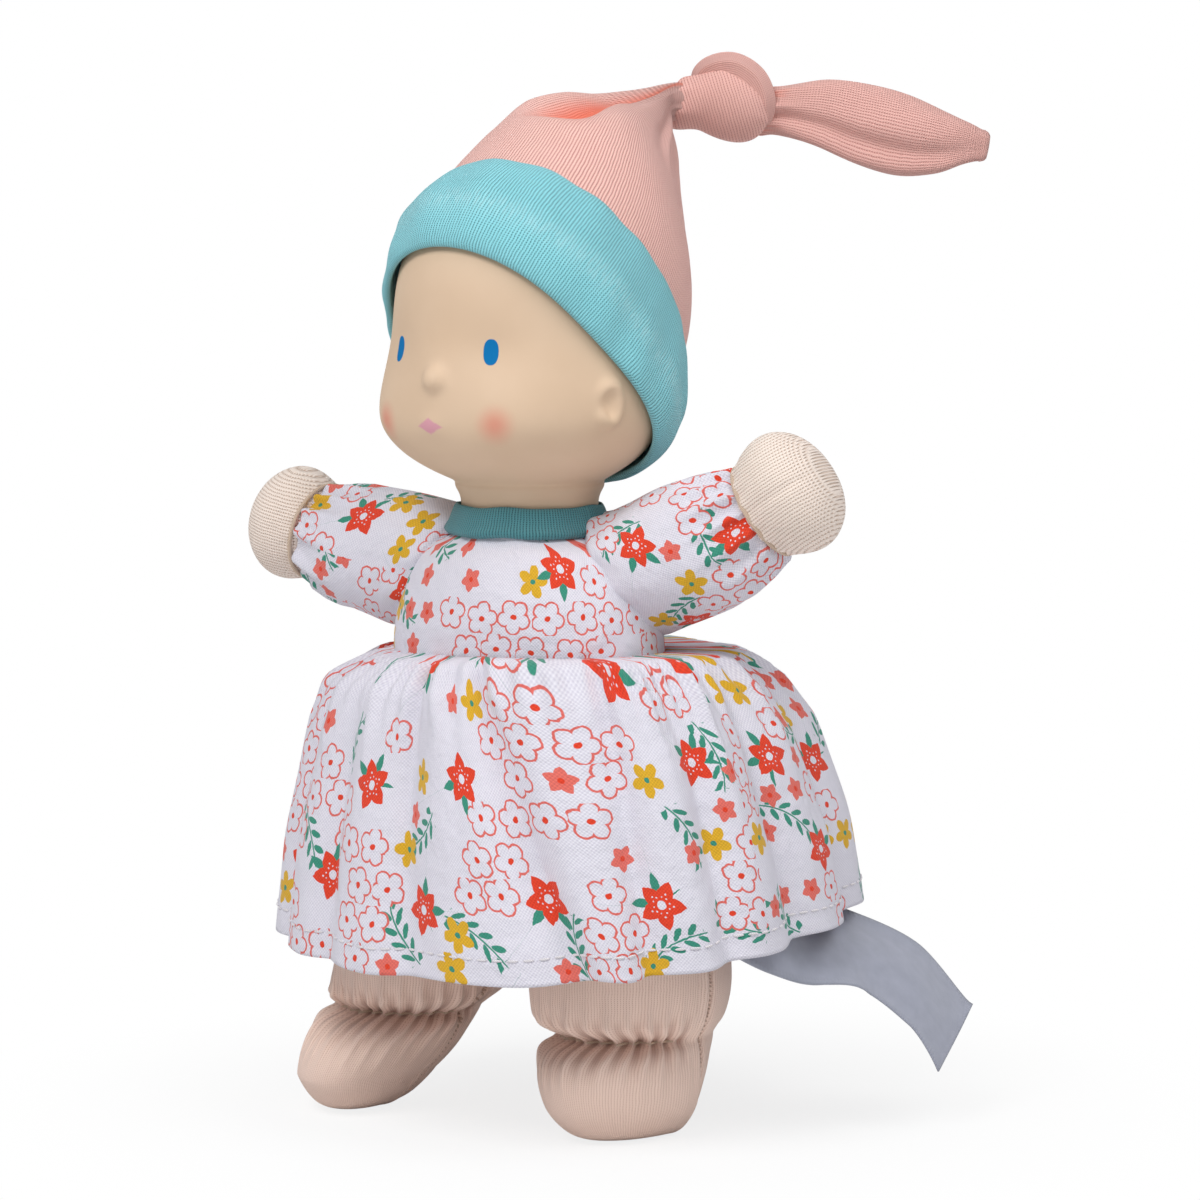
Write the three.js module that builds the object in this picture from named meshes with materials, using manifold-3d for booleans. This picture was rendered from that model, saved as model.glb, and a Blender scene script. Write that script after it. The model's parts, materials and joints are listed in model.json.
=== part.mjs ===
import * as THREE from 'three';
import Module from 'manifold-3d';

// A soft baby doll that stands on its own feet: a moulded rubber head on a stuffed cloth body, in a
// gathered dress and a knitted hat with a knotted tip. Lengths are in millimetres and angles in degrees.
// +Z is up, the doll faces -Y and its left side is +X. Heights are measured from the soles.

// Skins, threads and the room left between neighbouring pieces
const clearance = 0.3;
const fillGap = 0.7;
const cottonThickness = 0.9;
const knitThickness = 1.2;
const rubberThickness = 2.2;
const threadThickness = 0.9;
const paintThickness = 0.25;

// Lower body and legs
const hipHeight = 68;
const seatRadius = 22.5;
const seatWidth = 98;
const legWidth = 41;
const legFront = 23;
const legBack = 28;
const hipSpread = 28;
const footSpread = 38;
const footForward = 0.5;
const footShift = -9;
const footTurn = 10;
const toeIn = 13;
const footWidth = 33;
const toeReach = 26;
const heelReach = 15;
const ankleHeight = 23;
const soleWidth = 17.5;
const soleInset = 9;
const legSeamSetback = 5;

// Torso and the dress
const waistRise = 17;
const waistWidth = 68;
const waistDepth = 50;
const bodiceHeight = 26;
const bindingHeight = 7;
const bindingThickness = 1.7;
const skirtLength = 62.5;
const skirtWidth = 132;
const skirtFront = 50;
const skirtBack = 82;
const skirtSway = 3;
const hemRise = 6;
const foldDepth = 2.6;

// Arms
const shoulderRadius = 14.5;
const shoulderDrop = 9.5;
const sleeveLength = 29.5;
const sleeveWidth = 30.5;
const wristWidth = 23.5;
const handLength = 17;
const handWidth = 28.5;
const leftTilt = 33;
const rightTilt = 14;
const leftTurn = 18;
const rightTurn = 5;

// Head
const neckRadius = 16;
const neckDepth = 7;
const neckReveal = 5;
const neckGroove = 1.4;
const headWidth = 66;
const headFront = 34;
const headBack = 35.5;
const headHeight = 72;
const noseRadius = 4.2;
const noseReach = 2.8;
const noseHeight = 23;
const earHeight = 17.5;
const earTurn = 74;
const earReach = 2;
const eyeWidth = 3.7;
const eyeTall = 5.9;
const eyeHeight = 30;
const eyeTurn = 25;
const lipWidth = 8;
const lipTall = 4;
const lipHeight = 13;

// Hat
const hatTilt = 50;
const brimDrop = 9;
const brimHeight = 24.5;
const brimThickness = 2.2;
const crownLength = 53.5;
const crownSag = 9;
const crownEndSag = 0.45;
const crownNeckRadius = 5.5;
const knotRadius = 10.5;
const tailLength = 52;
const tailWidth = 18.5;
const tailThickness = 9;
const tailTurn = 40;
const tailTilt = 10;

// Care label
const labelWidth = 30;
const labelThickness = 0.8;
const labelFacing = 40.8;

const wasm = await Module();
wasm.setup();

const degree = Math.PI / 180;
const upward = new THREE.Vector3(0, 0, 1);
const waistHeight = hipHeight + seatRadius + waistRise;
const torsoFoot = hipHeight + seatRadius + clearance;
const bodiceTop = waistHeight + bodiceHeight;
const bindingFoot = bodiceTop + clearance;
const headFoot = bindingFoot + bindingHeight + neckReveal;
const farOut = 4 * headHeight;

// Solids

// A closed body from rings of points. Each ring joins the next. The first and the last close on their
// middle points, or on each other when the body goes round like a tyre.
function ringBody(rings, goesRound = false) {
  const count = rings[0].length;
  const points = rings.flat();
  const faces = [];
  const bands = goesRound ? rings.length : rings.length - 1;
  for (let band = 0; band < bands; band++) {
    const above = (band + 1) % rings.length;
    for (let i = 0; i < count; i++) {
      const j = (i + 1) % count;
      const corners = [band * count + i, band * count + j, above * count + j, above * count + i];
      faces.push([corners[0], corners[1], corners[2]], [corners[0], corners[2], corners[3]]);
    }
  }
  if (!goesRound) {
    const ends = [[rings[0], 0, false], [rings.at(-1), (rings.length - 1) * count, true]];
    for (const [ring, start, forward] of ends) {
      const middle = ring.reduce((sum, point) => sum.add(point), new THREE.Vector3());
      points.push(middle.divideScalar(count));
      for (let i = 0; i < count; i++) {
        const pair = [start + i, start + ((i + 1) % count)];
        faces.push(forward ? [...pair, points.length - 1] : [pair[1], pair[0], points.length - 1]);
      }
    }
  }
  return solidFrom(points, faces);
}

// A solid from points and triangles, turned right side out
function solidFrom(points, faces) {
  const volume = faces.reduce((sum, [a, b, c]) => {
    const normal = new THREE.Vector3().crossVectors(points[b], points[c]);
    return sum + points[a].dot(normal);
  }, 0);
  const outward = volume > 0 ? faces : faces.map(([a, b, c]) => [a, c, b]);
  return new wasm.Manifold(new wasm.Mesh({
    numProp: 3,
    vertProperties: new Float32Array(points.flatMap((point) => point.toArray())),
    triVerts: new Uint32Array(outward.flat()),
  }));
}

// A solid from one of the library's closed shapes, with its doubled corners joined
function solidOf(shape) {
  const position = shape.getAttribute('position');
  const index = shape.index ? [...shape.index.array] : [...Array(position.count).keys()];
  const seen = new Map();
  const points = [];
  const place = index.map((i) => {
    const point = new THREE.Vector3().fromBufferAttribute(position, i);
    const key = point.toArray().map((value) => Math.round(value * 1e4)).join();
    if (!seen.has(key)) {
      seen.set(key, points.length);
      points.push(point);
    }
    return seen.get(key);
  });
  const faces = [];
  for (let i = 0; i < place.length; i += 3) {
    const face = place.slice(i, i + 3);
    if (new Set(face).size === 3) faces.push(face);
  }
  return solidFrom(points, faces);
}

function geometryOf(solid) {
  const mesh = solid.getMesh();
  const geometry = new THREE.BufferGeometry();
  geometry.setAttribute('position', new THREE.BufferAttribute(new Float32Array(mesh.vertProperties), 3));
  geometry.setIndex(new THREE.BufferAttribute(new Uint32Array(mesh.triVerts), 1));
  geometry.computeVertexNormals();
  return geometry;
}

function moved(solid, placement) {
  return solid.transform(placement.elements);
}

function blockBetween(low, high) {
  const size = new THREE.Vector3().subVectors(high, low);
  const middle = new THREE.Vector3().addVectors(low, high).multiplyScalar(0.5);
  const box = new THREE.BoxGeometry(size.x, size.y, size.z);
  return solidOf(box.translate(middle.x, middle.y, middle.z));
}

// Everything on one side of an upright wall across the doll at y = wall
function frontOf(wall) {
  return blockBetween(new THREE.Vector3(-farOut, -farOut, -farOut), new THREE.Vector3(farOut, wall, farOut));
}

function backOf(wall) {
  return blockBetween(new THREE.Vector3(-farOut, wall, -farOut), new THREE.Vector3(farOut, farOut, farOut));
}

// Profiles

function smoothStep(before, from, to, after, t) {
  const startSlope = (to - before) / 2;
  const endSlope = (after - from) / 2;
  const cubic = 2 * from - 2 * to + startSlope + endSlope;
  const square = 3 * (to - from) - 2 * startSlope - endSlope;
  return cubic * t ** 3 + square * t ** 2 + startSlope * t + from;
}

// The smooth curve through a list of stations, read where the key has the wanted value
function stationAt(stations, key, wanted) {
  const last = stations.length - 1;
  let i = 0;
  while (i < last - 1 && stations[i + 1][key] < wanted) i++;
  const span = stations[i + 1][key] - stations[i][key];
  const t = THREE.MathUtils.clamp((wanted - stations[i][key]) / span, 0, 1);
  const near = [i - 1, i, i + 1, i + 2].map((k) => stations[THREE.MathUtils.clamp(k, 0, last)]);
  const found = {};
  for (const name of Object.keys(stations[0])) {
    found[name] = name === key ? wanted : smoothStep(...near.map((station) => station[name]), t);
  }
  return found;
}

// A level ring: an oval with its own reach to the front and to the back, turned about its own middle
function levelRing({ height, half, front, back, x = 0, y = 0, turn = 0 }, sides, grow = 0) {
  return Array.from({ length: sides }, (_, i) => {
    const angle = (2 * Math.PI * i) / sides;
    const reach = (Math.sin(angle) < 0 ? front : back) + grow;
    const point = new THREE.Vector3((half + grow) * Math.cos(angle), reach * Math.sin(angle), height);
    return point.applyAxisAngle(upward, turn * degree).add(new THREE.Vector3(x, y, 0));
  });
}

// A ring across a limb that runs along +X
function limbRing({ along, across, tall = across }, sides, grow = 0) {
  return Array.from({ length: sides }, (_, i) => {
    const angle = (2 * Math.PI * i) / sides;
    return new THREE.Vector3(
      along,
      (across + grow) * Math.cos(angle),
      (tall + grow) * Math.sin(angle),
    );
  });
}

// Thread that follows a line of points, open at its ends or going round
function threadAlong(points, radius, goesRound) {
  const sides = 5;
  const rings = points.map((point, i) => {
    const before = points[goesRound ? (i + points.length - 1) % points.length : Math.max(i - 1, 0)];
    const after = points[goesRound ? (i + 1) % points.length : Math.min(i + 1, points.length - 1)];
    const tangent = new THREE.Vector3().subVectors(after, before).normalize();
    const side = upward.clone().cross(tangent).normalize();
    const up = new THREE.Vector3().crossVectors(tangent, side);
    return Array.from({ length: sides }, (_, k) => {
      const angle = (2 * Math.PI * k) / sides;
      return point.clone()
        .addScaledVector(side, radius * Math.cos(angle))
        .addScaledVector(up, radius * Math.sin(angle));
    });
  });
  return ringBody(rings, goesRound);
}

// Scene graph

const doll = new THREE.Group();

function addPart(parent, name, solid, colour, roughness) {
  const material = new THREE.MeshStandardMaterial({ color: colour, roughness, metalness: 0 });
  const mesh = new THREE.Mesh(geometryOf(solid), material);
  mesh.name = name;
  parent.add(mesh);
}

const rubberColour = '#e0c7a6';
const turquoise = '#5fb9c2';
const pinkKnit = '#f0a898';
const printedCotton = '#eae4ea';
const handKnit = '#dfc6b0';
const legKnit = '#d2b09a';
const stuffingColour = '#f4f1ea';
const threadColour = '#d8c4b0';
const skinSides = 16;
const bodiceSides = 20;
const fillSides = 10;

// Head. Its rings give the share of the head's height, half width, front and back reach.
const headShares = [
  [0, 0.5, 0.49, 0.46],
  [0.02, 0.6, 0.62, 0.55],
  [0.076, 0.8, 0.84, 0.7],
  [0.14, 0.92, 0.96, 0.79],
  [0.2, 0.985, 1, 0.86],
  [0.285, 1, 0.985, 0.915],
  [0.37, 0.98, 0.95, 0.957],
  [0.45, 0.95, 0.925, 0.986],
  [0.55, 0.925, 0.93, 1],
  [0.66, 0.885, 0.905, 0.97],
  [0.757, 0.81, 0.82, 0.89],
  [0.854, 0.7, 0.69, 0.75],
  [0.924, 0.53, 0.515, 0.56],
  [0.975, 0.31, 0.31, 0.33],
  [1, 0.06, 0.06, 0.06],
];
const headRings = headShares.map(([share, half, front, back]) => ({
  height: headFoot + share * headHeight,
  half: (half * headWidth) / 2,
  front: front * headFront,
  back: back * headBack,
}));

// The point on the head at a height, turned from the middle of the face towards the doll's left
function onHead(height, turn, grow = 0) {
  const ring = stationAt(headRings, 'height', height);
  const angle = (turn - 90) * degree;
  const reach = Math.sin(angle) < 0 ? ring.front : ring.back;
  return new THREE.Vector3(
    (ring.half + grow) * Math.cos(angle),
    (reach + grow) * Math.sin(angle),
    height,
  );
}

function roundFeature(radius, stretch, middle) {
  const ball = new THREE.SphereGeometry(radius, 10, 6);
  return solidOf(ball.scale(...stretch).translate(...middle.toArray()));
}

function headSolid() {
  const sides = 24;
  const grooveHeight = bindingFoot - neckDepth / 2;
  const neckRings = [
    [bindingFoot - neckDepth, neckRadius],
    [grooveHeight - 2 * threadThickness, neckRadius],
    [grooveHeight - threadThickness, neckRadius - neckGroove],
    [grooveHeight + threadThickness, neckRadius - neckGroove],
    [grooveHeight + 2 * threadThickness, neckRadius],
    [headFoot - clearance, neckRadius],
  ].map(([height, radius]) => ({ height, half: radius, front: radius, back: radius }));
  const skin = ringBody([...neckRings, ...headRings].map((ring) => levelRing(ring, sides)));

  const bore = neckRadius - neckGroove - rubberThickness;
  const boreRings = [bindingFoot - neckDepth - 1, headFoot + rubberThickness]
    .map((height) => ({ height, half: bore, front: bore, back: bore }));
  const hollowRings = headRings
    .filter((ring) => ring.height > headFoot + 2 * rubberThickness)
    .filter((ring) => ring.half > 3 * rubberThickness)
    .map((ring) => ({ ...ring, height: Math.min(ring.height, headFoot + headHeight - rubberThickness) }));
  const rings = [...boreRings, ...hollowRings].map((ring, i) => levelRing(
    ring, skinSides, i < boreRings.length ? 0 : -rubberThickness * 1.15,
  ));

  const nose = onHead(headFoot + noseHeight, 0, noseReach - noseRadius);
  let head = skin.add(roundFeature(noseRadius, [1, 1, 0.92], nose));
  for (const side of [1, -1]) {
    const ear = onHead(headFoot + earHeight, side * earTurn);
    head = head.add(roundFeature(earReach, [1, 1.7, 2.6], ear));
  }
  return head.subtract(ringBody(rings));
}

// A thin oval of paint that follows the rubber
function paintOval(wide, tall, height, turn) {
  const sides = 14;
  const middle = onHead(headFoot + height, turn);
  const radius = Math.hypot(middle.x, middle.y);
  const ring = (share, lift) => Array.from({ length: sides }, (_, i) => {
    const angle = (2 * Math.PI * i) / sides;
    const across = (share * wide * Math.cos(angle)) / 2 / radius / degree;
    return onHead(headFoot + height + (share * tall * Math.sin(angle)) / 2, turn + across, lift);
  });
  const low = clearance;
  const top = low + paintThickness;
  return ringBody([ring(0.4, low), ring(1, low), ring(1, top), ring(0.4, top)]);
}

addPart(doll, 'head_shell', headSolid(), rubberColour, 0.55);
addPart(doll, 'eye_paint_left', paintOval(eyeWidth, eyeTall, eyeHeight, eyeTurn), '#1180c4', 0.4);
addPart(doll, 'eye_paint_right', paintOval(eyeWidth, eyeTall, eyeHeight, -eyeTurn), '#1180c4', 0.4);
addPart(doll, 'lip_paint', paintOval(lipWidth, lipTall, lipHeight, 0), '#d9a0b0', 0.5);

// Torso and bodice. Each ring gives its share of the height and how far it has opened from the
// neck's radius to the waist's half width and half depth.
const torsoShares = [
  [0, 0.76, 0.7],
  [0.1, 1, 1],
  [0.32, 1, 1],
  [0.56, 0.93, 0.97],
  [0.73, 0.8, 0.76],
  [0.86, 0.56, 0.46],
  [0.95, 0.27, 0.19],
  [1, 0, 0],
];
const bodiceNeck = neckRadius + clearance + cottonThickness;
const torsoRings = torsoShares.map(([share, wide, deep]) => {
  const reach = THREE.MathUtils.lerp(bodiceNeck, waistDepth / 2, deep);
  return {
    height: THREE.MathUtils.lerp(torsoFoot, bodiceTop, share),
    half: THREE.MathUtils.lerp(bodiceNeck, waistWidth / 2, wide),
    front: reach,
    back: reach,
  };
});

// The shoulder balls sit just outside the rubber neck, and the bodice is hollowed to let them turn. The
// chest is twisted a little against the hips, so each shoulder has its own turn about the neck.
const shoulderHeight = bodiceTop - shoulderDrop;
const neckFootRise = bindingFoot - neckDepth - shoulderHeight;
const ballReachAtNeck = Math.sqrt(Math.max(shoulderRadius ** 2 - neckFootRise ** 2, 0));
const shoulderSpread = neckRadius + 2 * clearance + ballReachAtNeck;

function shoulderPlace(side) {
  const turn = side > 0 ? leftTurn : rightTurn;
  return new THREE.Vector3(side * shoulderSpread, 0, shoulderHeight).applyAxisAngle(upward, turn * degree);
}

function shoulderBalls(radius, sides) {
  const ball = new THREE.SphereGeometry(radius, sides, sides * 0.6);
  const left = solidOf(ball.clone().translate(...shoulderPlace(1).toArray()));
  return left.add(solidOf(ball.clone().translate(...shoulderPlace(-1).toArray())));
}

const balls = shoulderBalls(shoulderRadius + 2 * clearance, bodiceSides);

function bodiceSolid() {
  const skin = ringBody(torsoRings.map((ring) => levelRing(ring, bodiceSides)));
  const inside = [
    { ...torsoRings[0], height: torsoFoot - 1 },
    ...torsoRings,
    { ...torsoRings.at(-1), height: bodiceTop + 1 },
  ];
  return skin
    .subtract(ringBody(inside.map((ring) => levelRing(ring, bodiceSides, -cottonThickness))))
    .subtract(balls);
}

function torsoFillSolid() {
  const top = bindingFoot - neckDepth - clearance;
  const rings = torsoRings
    .map((ring) => ({ ...ring, height: Math.max(ring.height, torsoFoot + clearance) }))
    .filter((ring) => ring.height < top - 1);
  rings.push(stationAt(torsoRings, 'height', top));
  return ringBody(rings.map((ring) => levelRing(ring, fillSides, -cottonThickness - fillGap)))
    .subtract(shoulderBalls(shoulderRadius + 2 * fillGap, 12));
}

const bodice = bodiceSolid();
addPart(doll, 'bodice_front', bodice.intersect(frontOf(-clearance / 2)), printedCotton, 0.85);
addPart(doll, 'bodice_back', bodice.intersect(backOf(clearance / 2)), printedCotton, 0.85);
addPart(doll, 'torso_stuffing', torsoFillSolid(), stuffingColour, 0.95);

// Neck tie, in the groove of the rubber neck
const tieRadius = neckRadius - neckGroove + clearance + threadThickness / 2;
const neckTie = new THREE.TorusGeometry(tieRadius, threadThickness / 2, 5, 20);
neckTie.translate(0, 0, bindingFoot - neckDepth / 2);
addPart(doll, 'neck_tie', solidOf(neckTie), threadColour, 0.9);

// Rib binding round the neck of the dress
function bindingSolid() {
  const inner = neckRadius + clearance;
  const profile = [
    [0, 0],
    [bindingThickness, 0],
    [bindingThickness * 1.25, 0.2],
    [bindingThickness * 1.1, 0.6],
    [bindingThickness * 0.8, 0.9],
    [bindingThickness * 0.3, 1],
    [0, 0.95],
    [0, 0],
  ].map(([out, rise]) => new THREE.Vector2(inner + out, rise * bindingHeight));
  const band = new THREE.LatheGeometry(profile, 24);
  return solidOf(band.rotateX(Math.PI / 2).translate(0, 0, bindingFoot));
}

addPart(doll, 'collar_binding', bindingSolid(), turquoise, 0.9);

// Skirt: gathered at the waist, flared to the hem, in soft folds that open downwards. Each ring gives
// its share of the length and how far its front and its back have opened from the waist to the hem.
const skirtShares = [
  [0, 0, 0],
  [0.03, 0.24, 0.4],
  [0.1, 0.4, 0.62],
  [0.26, 0.54, 0.8],
  [0.5, 0.72, 0.92],
  [0.76, 0.88, 0.98],
  [1, 1, 1],
];

// The folds, from the doll's right front round by its left: where each valley runs at the waist and at the
// hem, as an angle from the doll's left towards its back, and the valley's share of the fold depth
const skirtFolds = [
  [-140, -134, 0.9],
  [-118, -112, 0.8],
  [-96, -88, 0.9],
  [-76, -47, 1.2],
  [-38, -33, 0.9],
  [-16, -12, 0.8],
  [6, 9, 1],
  [28, 30, 0.8],
  [52, 50, 1.1],
  [75, 72, 0.8],
  [98, 96, 1],
  [122, 118, 0.8],
  [146, 143, 1.1],
  [172, 170, 0.8],
  [196, 200, 0.9],
];
const [[firstWaist, firstHem, firstDepth]] = skirtFolds;
const fullTurn = 360;

// How a fold's surface rises between one valley and the next, as places along it and shares of its depth
const foldRise = [[0, -1], [0.2, -0.06], [0.5, 0.56], [0.8, -0.06]];

function skirtRing([share, openFront, openBack], inset) {
  const start = clearance + cottonThickness;
  const open = (openFront + openBack) / 2;
  const half = THREE.MathUtils.lerp(waistWidth / 2 + start, skirtWidth / 2, open);
  const front = THREE.MathUtils.lerp(waistDepth / 2 + start, skirtFront, openFront);
  const back = THREE.MathUtils.lerp(waistDepth / 2 + start, skirtBack, openBack);
  return skirtFolds.flatMap((fold, i) => {
    const next = skirtFolds[i + 1] ?? [firstWaist + fullTurn, firstHem + fullTurn, firstDepth];
    return foldRise.map(([along, rise]) => {
      const between = fold.map((value, k) => THREE.MathUtils.lerp(value, next[k], along));
      const [waistTurn, hemTurn, depth] = between;
      const angle = THREE.MathUtils.lerp(waistTurn, hemTurn, share) * degree;
      const grow = foldDepth * open * depth * rise - inset;
      const reach = (Math.sin(angle) < 0 ? front : back) + grow;
      return new THREE.Vector3(
        skirtSway * share + (half + grow) * Math.cos(angle),
        reach * Math.sin(angle),
        waistHeight - share * (skirtLength - hemRise * Math.sin(angle)),
      );
    });
  });
}

function skirtSolid() {
  const outside = skirtShares.map((station) => skirtRing(station, 0));
  const inside = skirtShares.map((station) => skirtRing(station, cottonThickness));
  return ringBody([...outside, ...inside.reverse()], true);
}

addPart(doll, 'skirt', skirtSolid(), printedCotton, 0.85);

// Arms run along their own +X from the shoulder
const sleeveStations = [
  { along: 0.05, across: 0.86 },
  { along: 0.15, across: 0.87 },
  { along: 0.3, across: 0.93 },
  { along: 0.47, across: 1 },
  { along: 0.65, across: 1 },
  { along: 0.85, across: 0.88 },
  { along: 0.95, across: 0.74 },
].map(({ along, across }) => ({ along: along * sleeveLength, across: (across * sleeveWidth) / 2 }));
sleeveStations.push({ along: sleeveLength, across: wristWidth / 2 });

const handStart = sleeveLength + threadThickness + 2 * clearance;
const handStations = [
  { along: 0.12, across: 0.88 },
  { along: 0.35, across: 1 },
  { along: 0.6, across: 0.96 },
  { along: 0.8, across: 0.78 },
  { along: 0.93, across: 0.48 },
  { along: 1, across: 0.1 },
].map(({ along, across }) => ({
  along: handStart + along * handLength,
  across: (across * handWidth) / 2,
}));
handStations.unshift({ along: handStart, across: wristWidth / 2 });

function limb(stations, sides, grow) {
  const rings = stations.map((station) => limbRing(station, sides, Math.max(grow, 0.3 - station.across)));
  return ringBody(rings);
}

function shoulderBall(radius, sides) {
  return solidOf(new THREE.SphereGeometry(radius, sides, sides * 0.6));
}

function sleeveSolid() {
  const skin = shoulderBall(shoulderRadius, 16).add(limb(sleeveStations, skinSides, 0));
  const past = { along: sleeveLength + 1, across: wristWidth / 2 };
  const inside = shoulderBall(shoulderRadius - cottonThickness, 10)
    .add(limb([...sleeveStations, past], fillSides, -cottonThickness));
  return skin.subtract(inside);
}

function pulledIn(stations, thickness) {
  const tip = stations.at(-1).along;
  return stations.map((station) => ({
    ...station,
    along: Math.min(station.along, tip - thickness + (station.along - tip) * 0.01),
  }));
}

function handSolid() {
  const before = { along: handStart - 1, across: wristWidth / 2 };
  const inside = limb(pulledIn([before, ...handStations], knitThickness), fillSides, -knitThickness);
  return limb(handStations, skinSides, 0).subtract(inside);
}

function armFillSolid() {
  const inset = knitThickness + fillGap;
  const stations = pulledIn([...sleeveStations, ...handStations], inset);
  return shoulderBall(shoulderRadius - cottonThickness - fillGap, 10)
    .add(limb(stations, fillSides, -inset));
}

function wristThreadSolid() {
  const ring = new THREE.TorusGeometry(wristWidth / 2 + threadThickness / 4, threadThickness / 2, 5, 20);
  const middle = sleeveLength + clearance + threadThickness / 2;
  return solidOf(ring.rotateY(Math.PI / 2).translate(middle, 0, 0));
}

function addArm(side, name, lift, turn) {
  const arm = new THREE.Group();
  arm.position.copy(shoulderPlace(side));
  arm.rotation.set(0, -lift * degree, turn * degree + (side > 0 ? 0 : Math.PI), 'ZYX');
  doll.add(arm);
  addPart(arm, `${name}_sleeve`, sleeveSolid(), printedCotton, 0.85);
  addPart(arm, `${name}_hand`, handSolid(), handKnit, 0.9);
  addPart(arm, `${name}_arm_stuffing`, armFillSolid(), stuffingColour, 0.95);
  addPart(arm, `${name}_wrist_thread`, wristThreadSolid(), threadColour, 0.9);
}

addArm(1, 'left', leftTilt, leftTurn);
addArm(-1, 'right', rightTilt, rightTurn);

// Lower body: a barrel round the line that the doll folds on when it sits
const seatShares = [
  [1, 0.12],
  [0.985, 0.36],
  [0.93, 0.66],
  [0.84, 0.88],
  [0.72, 0.98],
  [0.58, 1],
];

function barrel(grow, sides) {
  const half = seatShares.map(([place, reach]) => [
    (place * seatWidth) / 2 + (place > 0.9 ? grow : 0),
    reach * seatRadius + grow,
  ]);
  const both = [...half, ...half.map(([place, reach]) => [-place, reach]).reverse()];
  return ringBody(both.map(([along, across]) => limbRing({ along, across }, sides)));
}

function atHips(solid) {
  return moved(solid, new THREE.Matrix4().makeTranslation(0, 0, hipHeight));
}

function seatSolid() {
  const mouth = blockBetween(
    new THREE.Vector3(-seatWidth / 5, -seatRadius / 2, 0),
    new THREE.Vector3(seatWidth / 5, seatRadius / 2, seatRadius + 1),
  );
  return atHips(barrel(0, skinSides).subtract(barrel(-knitThickness, fillSides)).subtract(mouth));
}

addPart(doll, 'seat', seatSolid(), legKnit, 0.9);
addPart(doll, 'seat_stuffing', atHips(barrel(-knitThickness - fillGap, fillSides)), stuffingColour, 0.95);

// Legs. Each ring gives its height, half width and its reach to the front and the back.
const shin = hipHeight - ankleHeight;
const footHalf = footWidth / 2;
const legHalf = legWidth / 2;
const legRings = [
  { height: 0, half: soleWidth / 2, front: toeReach - soleInset, back: heelReach - (2 * soleInset) / 3 },
  { height: 0.1 * ankleHeight, half: 0.62 * footHalf, front: 0.76 * toeReach, back: 0.62 * heelReach },
  { height: 0.3 * ankleHeight, half: 0.8 * footHalf, front: 0.96 * toeReach, back: 0.78 * heelReach },
  { height: 0.48 * ankleHeight, half: 0.91 * footHalf, front: toeReach, back: 0.9 * heelReach },
  { height: 0.67 * ankleHeight, half: footHalf, front: 0.96 * toeReach, back: heelReach },
  { height: 0.85 * ankleHeight, half: 1.02 * footHalf, front: 0.85 * toeReach, back: 1.13 * heelReach },
  { height: ankleHeight, half: 0.85 * legHalf, front: 0.78 * legFront, back: 0.72 * legBack },
  { height: ankleHeight + 0.09 * shin, half: 0.93 * legHalf, front: 0.93 * legFront, back: 0.87 * legBack },
  { height: ankleHeight + 0.26 * shin, half: legHalf, front: legFront, back: 0.99 * legBack },
  { height: ankleHeight + 0.48 * shin, half: legHalf, front: legFront, back: 0.96 * legBack },
  { height: ankleHeight + 0.8 * shin, half: 0.96 * legHalf, front: 0.98 * legFront, back: 0.86 * legBack },
];
const solidHips = atHips(barrel(clearance, 24));

// Where a leg's middle line is at a height, and how far its toes are turned there. The feet stand wider
// than the hips, turned about the body's axis against the head, and each leg bends out most at the ankle.
function legPlace(side, height) {
  const drop = 1 - Math.min(height / hipHeight, 1);
  const foot = new THREE.Vector3(side * footSpread + footShift, -footForward, 0);
  foot.applyAxisAngle(upward, footTurn * degree);
  const place = new THREE.Vector3(side * hipSpread, 0, 0).lerp(foot, drop ** 3);
  return { x: place.x, y: place.y, turn: (footTurn - side * toeIn) * drop };
}

// A leg of the given side, all round or pulled in by the thickness of its skin
function legSolid(side, pull, sides, openTop) {
  const rings = legRings.map((ring) => ({
    ...ring,
    height: Math.max(ring.height, pull),
    ...legPlace(side, ring.height),
  }));
  if (openTop) rings.push({ ...rings.at(-1), height: hipHeight + 1 });
  return ringBody(rings.map((ring) => levelRing(ring, sides, -pull)));
}

function ankleThreadSolid(side) {
  const ring = stationAt(legRings, 'height', ankleHeight);
  const place = legPlace(side, ankleHeight);
  const out = 1.5 * clearance + threadThickness / 2;
  const count = 12;
  const points = Array.from({ length: count + 1 }, (_, i) => {
    const angle = (188 + (164 * i) / count) * degree;
    const point = new THREE.Vector3(ring.half + out, ring.front + out, 0);
    point.multiply(new THREE.Vector3(Math.cos(angle), Math.sin(angle), 0));
    point.applyAxisAngle(upward, place.turn * degree);
    return point.add(new THREE.Vector3(place.x, place.y, ankleHeight));
  });
  return threadAlong(points, threadThickness / 2, false);
}

for (const [side, name] of [[1, 'left'], [-1, 'right']]) {
  const skin = legSolid(side, 0, skinSides, false)
    .subtract(legSolid(side, knitThickness, fillSides, true))
    .subtract(solidHips);
  const lean = new THREE.Matrix4().makeRotationX(legPlace(side, 0).y / hipHeight);
  const front = atHips(moved(frontOf(legSeamSetback - clearance / 2), lean));
  const back = atHips(moved(backOf(legSeamSetback + clearance / 2), lean));
  addPart(doll, `${name}_leg_front`, skin.intersect(front), legKnit, 0.9);
  addPart(doll, `${name}_leg_back`, skin.intersect(back), legKnit, 0.9);
  const fill = legSolid(side, knitThickness + fillGap, fillSides, false).subtract(solidHips);
  addPart(doll, `${name}_leg_stuffing`, fill, stuffingColour, 0.95);
  addPart(doll, `${name}_ankle_thread`, ankleThreadSolid(side), threadColour, 0.9);
}

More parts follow.
